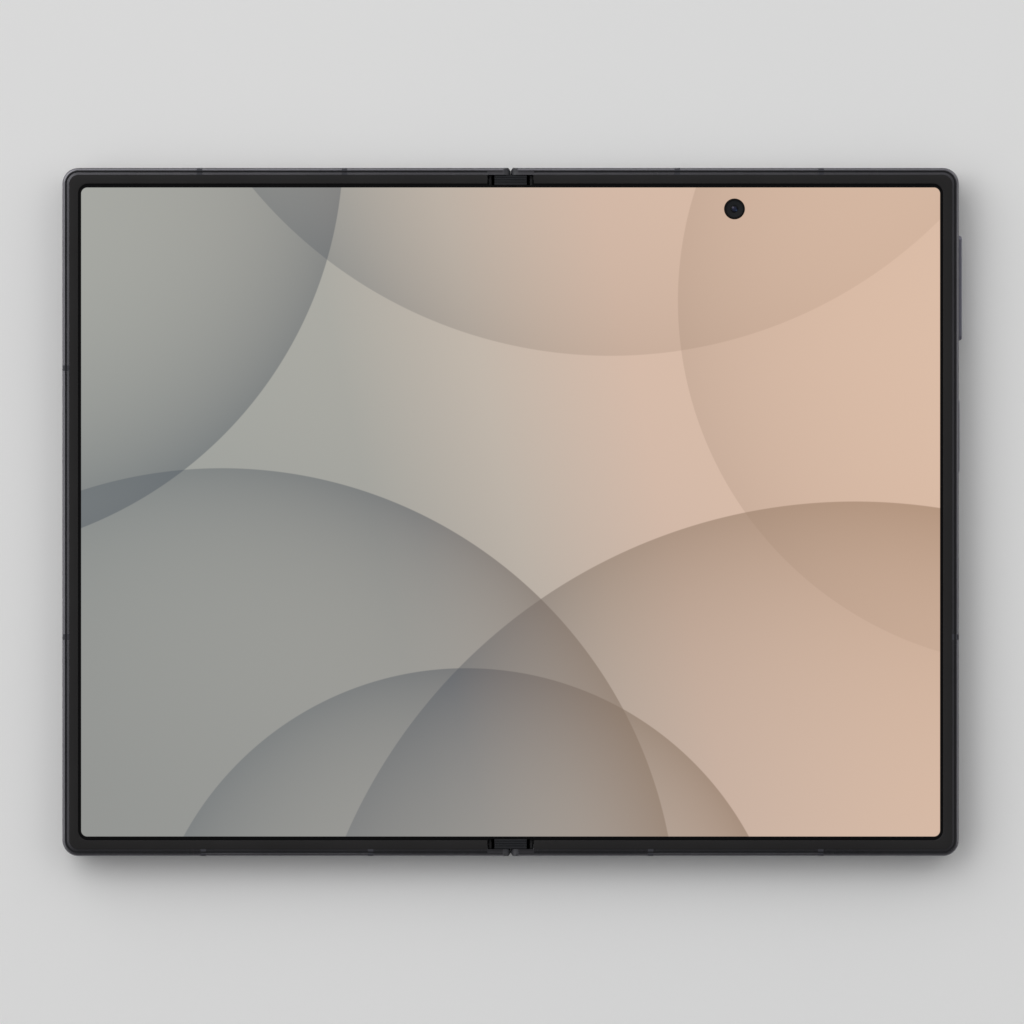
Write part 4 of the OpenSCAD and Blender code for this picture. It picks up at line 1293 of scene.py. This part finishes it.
@cache
def weave_tree() -> Growth:
    """Builds the tree that lays a square weave of wires over each point.

    Returns:
        The tree, with inputs Wires, Pitch, Span and Wire.
    """
    tree = Growth("woven_mesh")
    span = tree.input("Span", "Float")
    start = tree.node("ShaderNodeCombineXYZ", {}, {0: tree.maths("MULTIPLY", span, -0.5)})
    step = tree.node("ShaderNodeCombineXYZ", {}, {0: tree.input("Pitch", "Float")})
    row = tree.node("MeshLine", {}, {
        "Count": tree.input("Wires", "Int"), "Start Location": start, "Offset": step})
    bar = tree.node("MeshCylinder", {}, {
        "Vertices": 6, "Radius": tree.input("Wire", "Float"), "Depth": span})
    warp = tree.copies(row, bar)
    weft = tree.node("Transform", {}, {"Geometry": warp, "Rotation": (0, math.pi / 2, 0)})
    both = tree.node("JoinGeometry")
    for part in (warp, weft):
        tree.feed(both.inputs[0], part)
    return tree.close(tree.copies(tree.source, both))


def pads(name: str, size: Point, spots: Sequence[Point], finish: Finish) -> None:
    """Builds rows of small pads on the right half.

    Args:
        name: The piece's name.
        size: A pad's width, length and half height.
        spots: The pads' places.
        finish: Their finish.
    """
    item = put("pad", mesh_from(*pad_data(*size), "pad"))
    piece = copies_tree().grow(name, points_mesh(spots), finish, {
        "Item": item, "Turn": (0, 0, 0), "Size": (1, 1, 1)})
    bpy.data.objects.remove(item)
    settle(piece, Body.RIGHT, finish.slot)


# ---- Sub-assemblies ----


class Assembly(ABC):
    """A group of pieces with its sizes in millimetres."""

    @abstractmethod
    def build(self) -> None:
        """Builds the pieces."""


@dataclass
class FrameHalf(Assembly):
    """One metal half frame with its antenna breaks, its raised rim and a near-black strip of painted shade in
    its groove.
    """

    side: str
    body: Body
    sign: int
    start: float = 4.2
    rim_w: float = 1.6
    skirt_w: float = 0.8
    outer_r: float = RIM_R
    inner_r: float = 1.8
    top: float = 6.3
    sheet: float = SCREEN_Z
    foot: float = 5.4
    crisp: float = 0.04
    soft: float = 0.1
    groove_x: Flat = (-0.7, -0.42)
    groove_z: Flat = (6.17, 6.2)

    def build(self) -> None:
        """Builds the frame, the antenna breaks, the rim and the groove's strip of painted shade."""
        side, body = self.side, self.body
        copy_node(f"{side}_frame", f"{side}_half_frame", FrameMetal(), body)
        copy_node(f"{side}_antenna_breaks", f"{side}_antenna_inlays", ANTENNA, body)
        rim = self.ring("rim", RIM, self.rim_section(), (0, self.rim_w), (self.outer_r, self.inner_r), 10)
        settle(rim, body, Slot.RIM, f"{side}_bezel")
        # A near-black strip laid along the groove paints the shade that falls there.
        low, high = self.groove_z
        line = self.ring("groove_line", GROOVE_SHADE, [(0.0, low), (0.0, high), (1.0, high), (1.0, low)],
                         self.groove_x, tuple(self.outer_r - inset for inset in self.groove_x), 12)
        settle(line, body, Slot.RIM)

    def rim_section(self) -> list[Flat]:
        """Works out the rim's section, from its outer edge over the top and back.

        Returns:
            Shares of its width inwards, and heights.
        """
        outer = [(self.crisp - self.crisp * math.cos(a), self.top - self.crisp + self.crisp * math.sin(a))
                 for a in (i * math.pi / 8 for i in range(5))]
        inner = [(self.rim_w - self.soft + self.soft * math.sin(a),
                  self.top - self.soft + self.soft * math.cos(a))
                 for a in (i * math.pi / 12 for i in range(7))]
        under = [(self.rim_w, self.sheet), (self.skirt_w, self.sheet), (self.skirt_w, self.foot),
                 (0.0, self.foot)]
        return [(x / self.rim_w, z) for x, z in outer + inner + under]

    def path(self, inset: float) -> Mesh:
        """Makes the path round the half, an inset inside the rim's outer edge.

        Args:
            inset: The inset.

        Returns:
            A mesh of its corners, from the fold and back to it.
        """
        x, y = (half - inset for half in RIM_HALF)
        ring = [(self.start, y), (x, y), (x, -y), (self.start, -y)]
        return points_mesh([(self.sign * px, self.sign * py, 0) for px, py in ring], linked=True)

    def ring(self, name: str, finish: Finish, shape: Sequence[Flat], insets: Flat, radii: Flat,
             steps: int) -> Item:
        """Builds a piece that runs round the half.

        Args:
            name: The piece's name, after its side.
            finish: Its finish.
            shape: Its section: shares of its width inwards, and heights.
            insets: How far its outer and inner path lie inside the rim's outer edge.
            radii: The corners' radius of both paths.
            steps: The steps round a corner.

        Returns:
            The closed piece.
        """
        profile = put("profile", points_mesh([(x / MM, 0, z) for x, z in (*shape, shape[0])]))
        inner = put("inner_path", self.path(insets[1]))
        piece = loft_tree().grow(f"{self.side}_{name}", self.path(insets[0]), finish, {
            "Inner path": inner, "Profile": profile, "Outer radius": radii[0] * MM,
            "Inner radius": radii[1] * MM, "Steps": steps, "Around": len(shape) + 1})
        for item in (profile, inner):
            bpy.data.objects.remove(item)
        mend(piece.data, fill=True)
        piece.data.set_sharp_from_angle(angle=math.radians(30))
        return piece


@dataclass
class FoldingSheet(Assembly):
    """Half of a sheet that runs from the fold over one half of the phone, with close columns near the fold.
    """

    name: str
    finish: Finish
    body: Body
    sign: int
    nodes: tuple[str, ...]
    reach: float
    tall: float
    narrow: float
    bottom: float
    top: float
    corner: float = 0.0
    bend: float = 4.0
    turn: float = 3.6
    steps: int = 40
    hole: Optional[Point] = None
    shares: tuple[float, ...] = (-1, -0.96, -0.75, -0.5, -0.25, 0, 0.25, 0.5, 0.75, 0.96, 1)

    def columns(self) -> list[Flat]:
        """Places the columns of the sheet's grid, from the fold outwards.

        Returns:
            Each column's x and half its height.
        """
        out = [(self.bend * i / self.steps, self.narrow) for i in range(self.steps + 1)]
        if self.reach <= self.bend:
            return out
        jump, first = self.bend + 0.01, self.bend + 0.4
        flat_to, flat_steps, corner_steps = self.reach - self.corner, 14, 6
        out.append((jump, self.tall))
        out += [(first + (flat_to - first) * i / flat_steps, self.tall) for i in range(flat_steps + 1)]
        for a in (math.pi / 2 * i / corner_steps for i in range(1, corner_steps + 1)):
            out.append((flat_to + self.corner * math.sin(a), self.tall - self.corner * (1 - math.cos(a))))
        return out

    def build(self) -> None:
        """Builds the sheet, cuts its hole if it has one, gives it its UV map and hides the CAD nodes that it
        stands for.
        """
        columns = self.columns()
        rows = len(self.shares)
        verts = [(self.sign * x, h * s, z) for z in (self.top, self.bottom)
                 for x, h in columns for s in self.shares]
        layer = len(columns) * rows
        faces: list[list[int]] = []
        for i in range(len(columns) - 1):
            for j in range(rows - 1):
                a, b = i * rows + j, (i + 1) * rows + j
                faces.append([a, b, b + 1, a + 1])
                faces.append([layer + a, layer + a + 1, layer + b + 1, layer + b])
            for j in (0, rows - 1):
                a, b = i * rows + j, (i + 1) * rows + j
                faces.append([a, b, layer + b, layer + a])
        for i in (0, len(columns) - 1):
            for j in range(rows - 1):
                a = i * rows + j
                faces.append([a, a + 1, layer + a + 1, layer + a])
        piece = add_object(self.name, mesh_from(verts, faces, self.name), self.finish, 40)
        if self.hole:
            piece = self.bored(piece)
        self.unwrap(piece.data)
        ends = [(self.sign * self.turn * MM, 0, self.top * MM), (0, 0, self.top * MM)]
        bodies = [self.body.value, Body.SPINE.value]
        if self.sign < 0:
            bodies, ends = bodies[::-1], ends[::-1]
        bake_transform(piece)
        if self.nodes:
            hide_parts(*self.nodes)
        LOG.info("%s bends between %s and %s", self.name, *bodies)

    def bored(self, piece: Item) -> Item:
        """Cuts the camera's round hole.

        Args:
            piece: The sheet.

        Returns:
            The sheet with its hole.
        """
        x, y, r = self.hole
        low, high = self.bottom - 1, self.top + 1
        drill = put("drill", lathe([(0, low), (r, low), (r, high), (0, high)], [(x, y)], 96, "drill"))
        modify(piece, "BOOLEAN", object=drill, operation="DIFFERENCE", solver="EXACT")
        piece = bake(piece, self.finish, 40)
        bpy.data.objects.remove(drill)
        return piece

    def unwrap(self, mesh: Mesh) -> None:
        """Gives the sheet a UV map that is its place on the open phone.

        Args:
            mesh: The sheet's mesh.
        """
        layer = mesh.uv_layers.new(name="sheet")
        for loop in mesh.loops:
            co = mesh.vertices[loop.vertex_index].co / MM
            layer.data[loop.index].uv = (co.x / PAGE[0] + 0.5, co.y / PAGE[1] + 0.5)


@dataclass
class Display(Assembly):
    """The folding display and the foil cable below it, each in two sheets that meet at the fold."""

    reach: float = 78.54
    tall: float = 59.79
    narrow: float = 58.84
    bottom: float = 5.7
    top: float = SCREEN_Z
    corner: float = 0.74
    hole_r: float = 1.8
    foil_reach: float = 3.95
    foil_tall: float = 7.0
    foil_z: Flat = (4.5, 4.6)

    def build(self) -> None:
        """Builds the sheets of both sides."""
        screen = LitScreen()
        for sign, body, side in ((1, Body.RIGHT, "right"), (-1, Body.LEFT, "left")):
            nodes = (f"{side}_display_panel",) + (("display_flex",) if sign > 0 else ())
            FoldingSheet(f"{side}_screen", screen, body, sign, nodes, self.reach, self.tall,
                         self.narrow, self.bottom, self.top, self.corner,
                         hole=(*CAMERA_AT, self.hole_r) if sign > 0 else None).build()
            nodes = ("hinge_flex_cable",) if sign > 0 else ()
            FoldingSheet(f"{side}_foil_cable", FoilCable(), body, sign, nodes, self.foil_reach,
                         self.foil_tall, self.foil_tall, *self.foil_z, bend=self.foil_reach,
                         turn=self.foil_reach, steps=16).build()


@dataclass
class InnerCamera(Assembly):
    """The camera behind the round window in the screen."""

    at: Flat = CAMERA_AT
    face: tuple[Flat, ...] = (
        (0, 5.7), (1.78, 5.7), (1.78, 6.05), (1.75, 6.08), (1.5, 6.08), (1.46, 6.04), (0.74, 6.0),
        (0.7, 5.96), (0.66, 5.9), (0, 5.9))
    dome: tuple[Flat, ...] = (
        (0, 5.86), (0.62, 5.86), (0.62, 5.91), (0.5, 5.935), (0.35, 5.95), (0.2, 5.958), (0, 5.96))
    face_tones: tuple[Stop, ...] = (
        (0.0, (9, 10, 13)), (0.38, (9, 10, 13)), (0.44, (28, 30, 32)), (0.77, (27, 29, 31)),
        (0.84, (5, 5, 6)))
    lens_tones: tuple[Stop, ...] = ((0.0, (40, 44, 64)), (0.5, (32, 38, 58)), (0.9, (8, 9, 13)))

    def build(self) -> None:
        """Builds the window's black ring with the stepped face, and the lens."""
        x, y = self.at
        black = Rings("camera_face", Slot.LENS, (self.at,), 1.8, self.face_tones, roughness=0.4,
                      specular=0.25, coat=0.0)
        turned("inner_camera_face", self.face, [self.at], 72, black, "inner_camera_lens")
        # The lens coat carries two painted highlights: a pale one up and to the left, and a blue one down and
        # to the right.
        coat = Rings("inner_lens_coat", Slot.LENS, (self.at,), 0.62, self.lens_tones, roughness=0.14,
                     specular=0.4, coat=0.2, painted_glints=(((x - 0.25, y + 0.26), 0.26, (106, 102, 122)),
                                                     ((x + 0.36, y - 0.26), 0.28, (54, 72, 100))))
        turned("inner_camera_dome", self.dome, [self.at], 48, coat, angle=60)


@dataclass
class RearCameras(Assembly):
    """The camera island with three lenses, and the flash beside it."""

    x: float = 66.5
    y: float = 35.45
    pitch: float = 14.0
    flash: Flat = (53.3, 49.45)
    flash_r: float = 2.2
    ridges: int = 8
    flash_z: tuple[float, float, float, float] = (2.3, 1.8, 1.86, 1.84)
    cover: tuple[Flat, ...] = ((0, 0.1), (4.52, 0.1), (4.6, 0.16), (4.6, 0.32), (0, 0.32))
    barrel: tuple[Flat, ...] = (
        (4.6, 0.7), (4.6, 0.36), (4.2, 0.36), (4.15, 0.4), (3.6, 0.4), (3.5, 0.46), (3.1, 0.47),
        (3.0, 0.53), (2.7, 0.54), (2.6, 0.6), (2.35, 0.61), (2.3, 0.66), (0, 0.66), (0, 0.7))
    dome: tuple[Flat, ...] = (
        (0, 0.68), (2.25, 0.68), (2.2, 0.6), (1.8, 0.5), (1.2, 0.43), (0.6, 0.4), (0, 0.39))
    lens_tones: tuple[Stop, ...] = ((0.0, (26, 22, 46)), (0.55, (14, 20, 44)), (1.0, (10, 26, 34)))

    def build(self) -> None:
        """Builds the island, rings, clear covers, barrels, lenses and the flash."""
        copy_node("camera_island", "camera_island_body", ISLAND, Body.RIGHT)
        copy_node("camera_lens_rings", "camera_rings", RING_STEEL, Body.RIGHT, bevel=0.08, angle=40)
        places = tuple((self.x, self.y + i * self.pitch) for i in (-1, 0, 1))
        turned("camera_cover_glass", self.cover, places, 96, ClearGlass(), "camera_lens_glass")
        turned("camera_barrels", self.barrel, places, 96, BARREL)
        coat = Rings("rear_lens_coat", Slot.LENS, places, 2.2, self.lens_tones)
        turned("camera_lens_domes", self.dome, places, 72, coat, angle=50)
        back, low, high, middle = self.flash_z
        step = self.flash_r / (self.ridges + 0.2)
        lens = [(0, back), (self.flash_r, back), (self.flash_r, low)]
        for i in range(self.ridges, 0, -1):
            lens += [((i - 0.1) * step, low), ((i - 0.75) * step, high)]
        turned("flash_lens", [*lens, (0, middle)], [self.flash], 64, FLASH, "flash_window", angle=20)


class Backs(Assembly):
    """The back glass of the right half and the cover glass of the left one."""

    def build(self) -> None:
        """Builds both glasses."""
        copy_node("right_back_glass", "back_glass_sheet", BackGlass(), Body.RIGHT)
        copy_node("cover_glass", "cover_glass_sheet", CoverScreen(), Body.LEFT)


@dataclass
class Controls(Assembly):
    """The keys on the right edge and the card tray, each with the width of its rounded edges."""

    volume: float = 0.12
    power: float = 0.05
    tray: float = 0.06

    def build(self) -> None:
        """Builds the keys and the tray."""
        copy_node("volume_key", "volume_rocker_key", KEY_METAL, Body.VOLUME, bevel=self.volume, angle=30)
        copy_node("power_key", "power_touch_key", KEY_METAL, Body.POWER, bevel=self.power, angle=30)
        copy_node("sim_tray", "card_tray_drawer", ANODISED, Body.TRAY, bevel=self.tray, angle=30)


@dataclass
class Openings(Assembly):
    """Dust mesh behind the sound holes, and the charging socket with its contacts."""

    hole_y: float = 61.0
    hole_z: float = 3.75
    holes: int = 6
    middle_x: float = 55.8
    pitch: float = 1.9
    split: float = 0.7
    ear_holes: int = 4
    ear_x: float = -44.0
    wires: int = 7
    wire_pitch: float = 0.2
    span: float = 1.2
    wire: float = 0.035
    pad: Point = (0.15, 1.6, 0.03)
    contacts: int = 12
    contact_pitch: float = 0.5
    contact_z: float = 0.36
    set_back: float = 1.0

    def build(self) -> None:
        """Builds the woven mesh, the socket and its gold contacts."""
        values = {"Wires": self.wires, "Pitch": self.wire_pitch * MM, "Span": self.span * MM,
                  "Wire": self.wire * MM}
        low = [(self.middle_x + self.pitch * i + math.copysign(self.split / 2, i), -self.hole_y, self.hole_z)
               for i in spread(self.holes)]
        high = [(self.ear_x + self.pitch * i, self.hole_y, self.hole_z) for i in spread(self.ear_holes)]
        for name, spots, body in (("speaker_mesh", low, Body.RIGHT), ("earpiece_mesh", high, Body.LEFT)):
            settle(weave_tree().grow(name, points_mesh(spots), STEEL, values), body, Slot.STEEL)
        copy_node("usb_port", "charging_shell", STEEL, Body.RIGHT)
        copy_node("usb_tongue", "charging_tongue", BLACK, Body.RIGHT, bevel=0.04, angle=30)
        near, far = corners("usb_tongue")
        middle = (near + far) / 2
        spots = [(middle.x + i * self.contact_pitch, near.y + self.set_back, middle.z + side * self.contact_z)
                 for side in (-1, 1) for i in spread(self.contacts)]
        pads("charging_contacts", self.pad, spots, GOLD)


@dataclass
class Hinge(Assembly):
    """The hinge: cover, end caps, springs, and the seals in the slit between the frames' ends."""

    axis_x: float = 1.35
    axis_z: float = 5.0
    wire: float = 0.07
    coil_r: float = 0.42
    coil_pitch: float = 0.24
    seal: Point = (0.07, 0.95, 0.4)
    seal_y: float = 60.97
    seal_z: float = 4.0

    def build(self) -> None:
        """Builds the cover, the caps, the springs and the seals."""
        copy_node("hinge_cover", "hinge_cover_shell", CoverShell(), Body.SPINE)
        copy_node("hinge_end_caps", "hinge_caps", CAP, Body.SPINE, bevel=0.02)
        places = [abs(v.co.y) / MM for v in frame["nodes"]["torque_springs"].data.vertices]
        near, far = min(places), max(places)
        length = far - near - 2 * self.wire
        spots = [(side * self.axis_x, y, self.axis_z)
                 for side in (-1, 1) for y in (far - self.wire, -near - self.wire)]
        springs = coil_tree().grow("hinge_springs", points_mesh(spots), STEEL, {
            "Inner": self.coil_r * MM, "Outer": self.coil_r * MM, "Length": length * MM,
            "Turns": length / self.coil_pitch, "Wire": self.wire * MM, "Turn": (math.pi / 2, 0, 0)})
        settle(springs, Body.SPINE, Slot.STEEL, "torque_springs")
        pad, faces = pad_data(*self.seal)
        verts = [(x, y + side * self.seal_y, z + self.seal_z) for side in (-1, 1) for x, y, z in pad]
        faces += [[i + len(pad) for i in face] for face in faces]
        seals = add_object("fold_seals", mesh_from(verts, faces, "fold_seals"), ANTENNA)
        settle(seals, Body.SPINE, Slot.RIM)


@dataclass
class Inside(Assembly):
    """What the housing hides: it keeps its CAD shape and gets its own finish."""

    coil_turns: float = 11.0
    coil_band: float = 10.0
    chip: Point = (1.2, 0.7, 0.12)
    chip_from: Flat = (8, -9)
    chip_pitch: Flat = (1.9, 1.6)
    chip_grid: tuple[int, int] = (8, 3)

    def build(self) -> None:
        """Winds the charging coil, dresses the inner pieces and puts small parts on the board."""
        low, high = corners("wireless_coil")
        middle, outer, wire = (low + high) / 2, (high.x - low.x) / 2, (high.z - low.z) / 2
        flat = coil_tree().grow("charging_coil", points_mesh([middle]), COPPER, {
            "Inner": (outer - self.coil_band) * MM, "Outer": (outer - wire) * MM, "Length": 0.0,
            "Turns": self.coil_turns, "Wire": wire * MM, "Turn": (0, 0, 0)})
        settle(flat, Body.RIGHT, Slot.COPPER, "wireless_coil")
        finishes: dict[str, Finish] = {
            Slot.STEEL.value: STEEL, Slot.BLACK.value: BLACK, Slot.BOARD.value: BoardGreen(),
            Slot.BATTERY.value: BatteryWrap(), Slot.COPPER.value: GOLD, Slot.GEAR.value: GEAR,
            Slot.FRAME.value: ANODISED}
        slots = {part["node"]: part["material_slot"] for part in frame["record"]["subparts"]}
        for name, node in frame["nodes"].items():
            if not node.hide_render:
                finish = finishes[slots[name]]
                dress(node.data, finish)
                LOG.info("%s keeps its CAD shape in %s", name, finish.name)
        low, high = corners("main_board")
        spots = [(low.x + self.chip_from[0] + self.chip_pitch[0] * i,
                  high.y + self.chip_from[1] + self.chip_pitch[1] * j, low.z - self.chip[2])
                 for i in range(self.chip_grid[0]) for j in range(self.chip_grid[1]) if (i * 7 + j * 5) % 4]
        pads("board_chips", self.chip, spots, BLACK)


# ---- Studio ----


@dataclass
class Set(Assembly):
    """The floor, the lights and the camera."""

    page: float = 184.32
    middle: Flat = (0.25, 0.0)
    level: float = SCREEN_Z
    distance: float = 1400.0
    sensor: float = 36
    clip: Flat = (0.01, 20)
    floor_half: float = 4000.0
    dim_side: Point = (0.62, -0.78, 0.0)
    dim_range: Flat = (-0.25, 0.25)
    dim_share: float = 0.28
    sky: tuple[Flat, ...] = ((0.0, 0.86), (0.78, 0.86), (0.94, 0.2), (1.0, 0.19))
    lamps: tuple[tuple[str, Point, float, float], ...] = (
        ("key", (-1.0, 0.9, 1.1), 2.0, 14.5),
        ("fill", (1.2, 0.4, 0.9), 1.6, 4.5),
    )

    def build(self) -> None:
        """Builds the whole set."""
        self.floor()
        self.world()
        for name, place, size, power in self.lamps:
            self.lamp(name, place, size, power)
        self.camera()

    def floor(self) -> None:
        """Builds the pale floor, level with the object's lowest point."""
        half, z = self.floor_half, CAD_BOX[0][2] / MM
        mesh = mesh_from([(-half, -half, z), (half, -half, z), (half, half, z), (-half, half, z)],
                         [[0, 1, 2, 3]], "floor")
        floor = add_object("floor", mesh, Studio())
        if floor.data.polygons[0].normal.z < 0:
            floor.data.flip_normals()

    def world(self) -> None:
        """Builds a sky that is pale all round, dim straight above and dimmer on one side."""
        world = bpy.data.worlds.new("studio")
        bpy.context.scene.world = world
        world.use_nodes = True
        tree = Nodes(world.node_tree)
        coords = tree.node("TexCoord").outputs["Generated"]
        parts = tree.node("SeparateXYZ", {}, {0: coords})
        stops = [(height, (level, level, level * 1.02, 1)) for height, level in self.sky]
        ramp = tree.node("ValToRGB", {"stops": stops}, {0: parts.outputs["Z"]})
        side = tree.node("VectorMath", {"operation": "DOT_PRODUCT"}, {0: coords, 1: self.dim_side})
        dim = tree.node("MapRange", {"interpolation_type": "SMOOTHSTEP"}, {
            0: side.outputs["Value"], 1: self.dim_range[0], 2: self.dim_range[1], 3: 1.0, 4: self.dim_share})
        light = tree.node("Background", {}, {"Color": ramp, "Strength": dim})
        tree.node("OutputWorld", {}, {"Surface": light})

    def lamp(self, name: str, place: Point, size: float, power: float) -> None:
        """Adds a soft lamp that looks at the phone.

        Args:
            name: Its name.
            place: Its place in metres.
            size: The side of its square in metres.
            power: Its power in watts.
        """
        data = bpy.data.lights.new(name, "AREA")
        data.size = size
        data.energy = power
        lamp = put(name, data)
        lamp.location = place
        lamp.rotation_euler = (-Vector(place)).to_track_quat("-Z", "Y").to_euler()

    def camera(self) -> None:
        """Adds the camera straight above, with a long lens."""
        data = bpy.data.cameras.new("camera")
        data.sensor_width = self.sensor
        data.lens = self.sensor * self.distance / self.page
        data.clip_start, data.clip_end = self.clip
        camera = put("camera", data)
        camera.location = (self.middle[0] * MM, self.middle[1] * MM, (self.distance + self.level) * MM)
        bpy.context.scene.camera = camera


def main() -> None:
    """Builds the phone and its set."""
    logging.basicConfig(level=logging.INFO, format="%(message)s")
    bpy.context.scene.view_settings.view_transform = "Standard"
    parts = (FrameHalf("right", Body.RIGHT, 1), FrameHalf("left", Body.LEFT, -1), Display(), InnerCamera(),
             RearCameras(), Backs(), Controls(), Openings(), Hinge(), Inside(), Set())
    for part in parts:
        part.build()


if __name__ == "__main__":
    main()
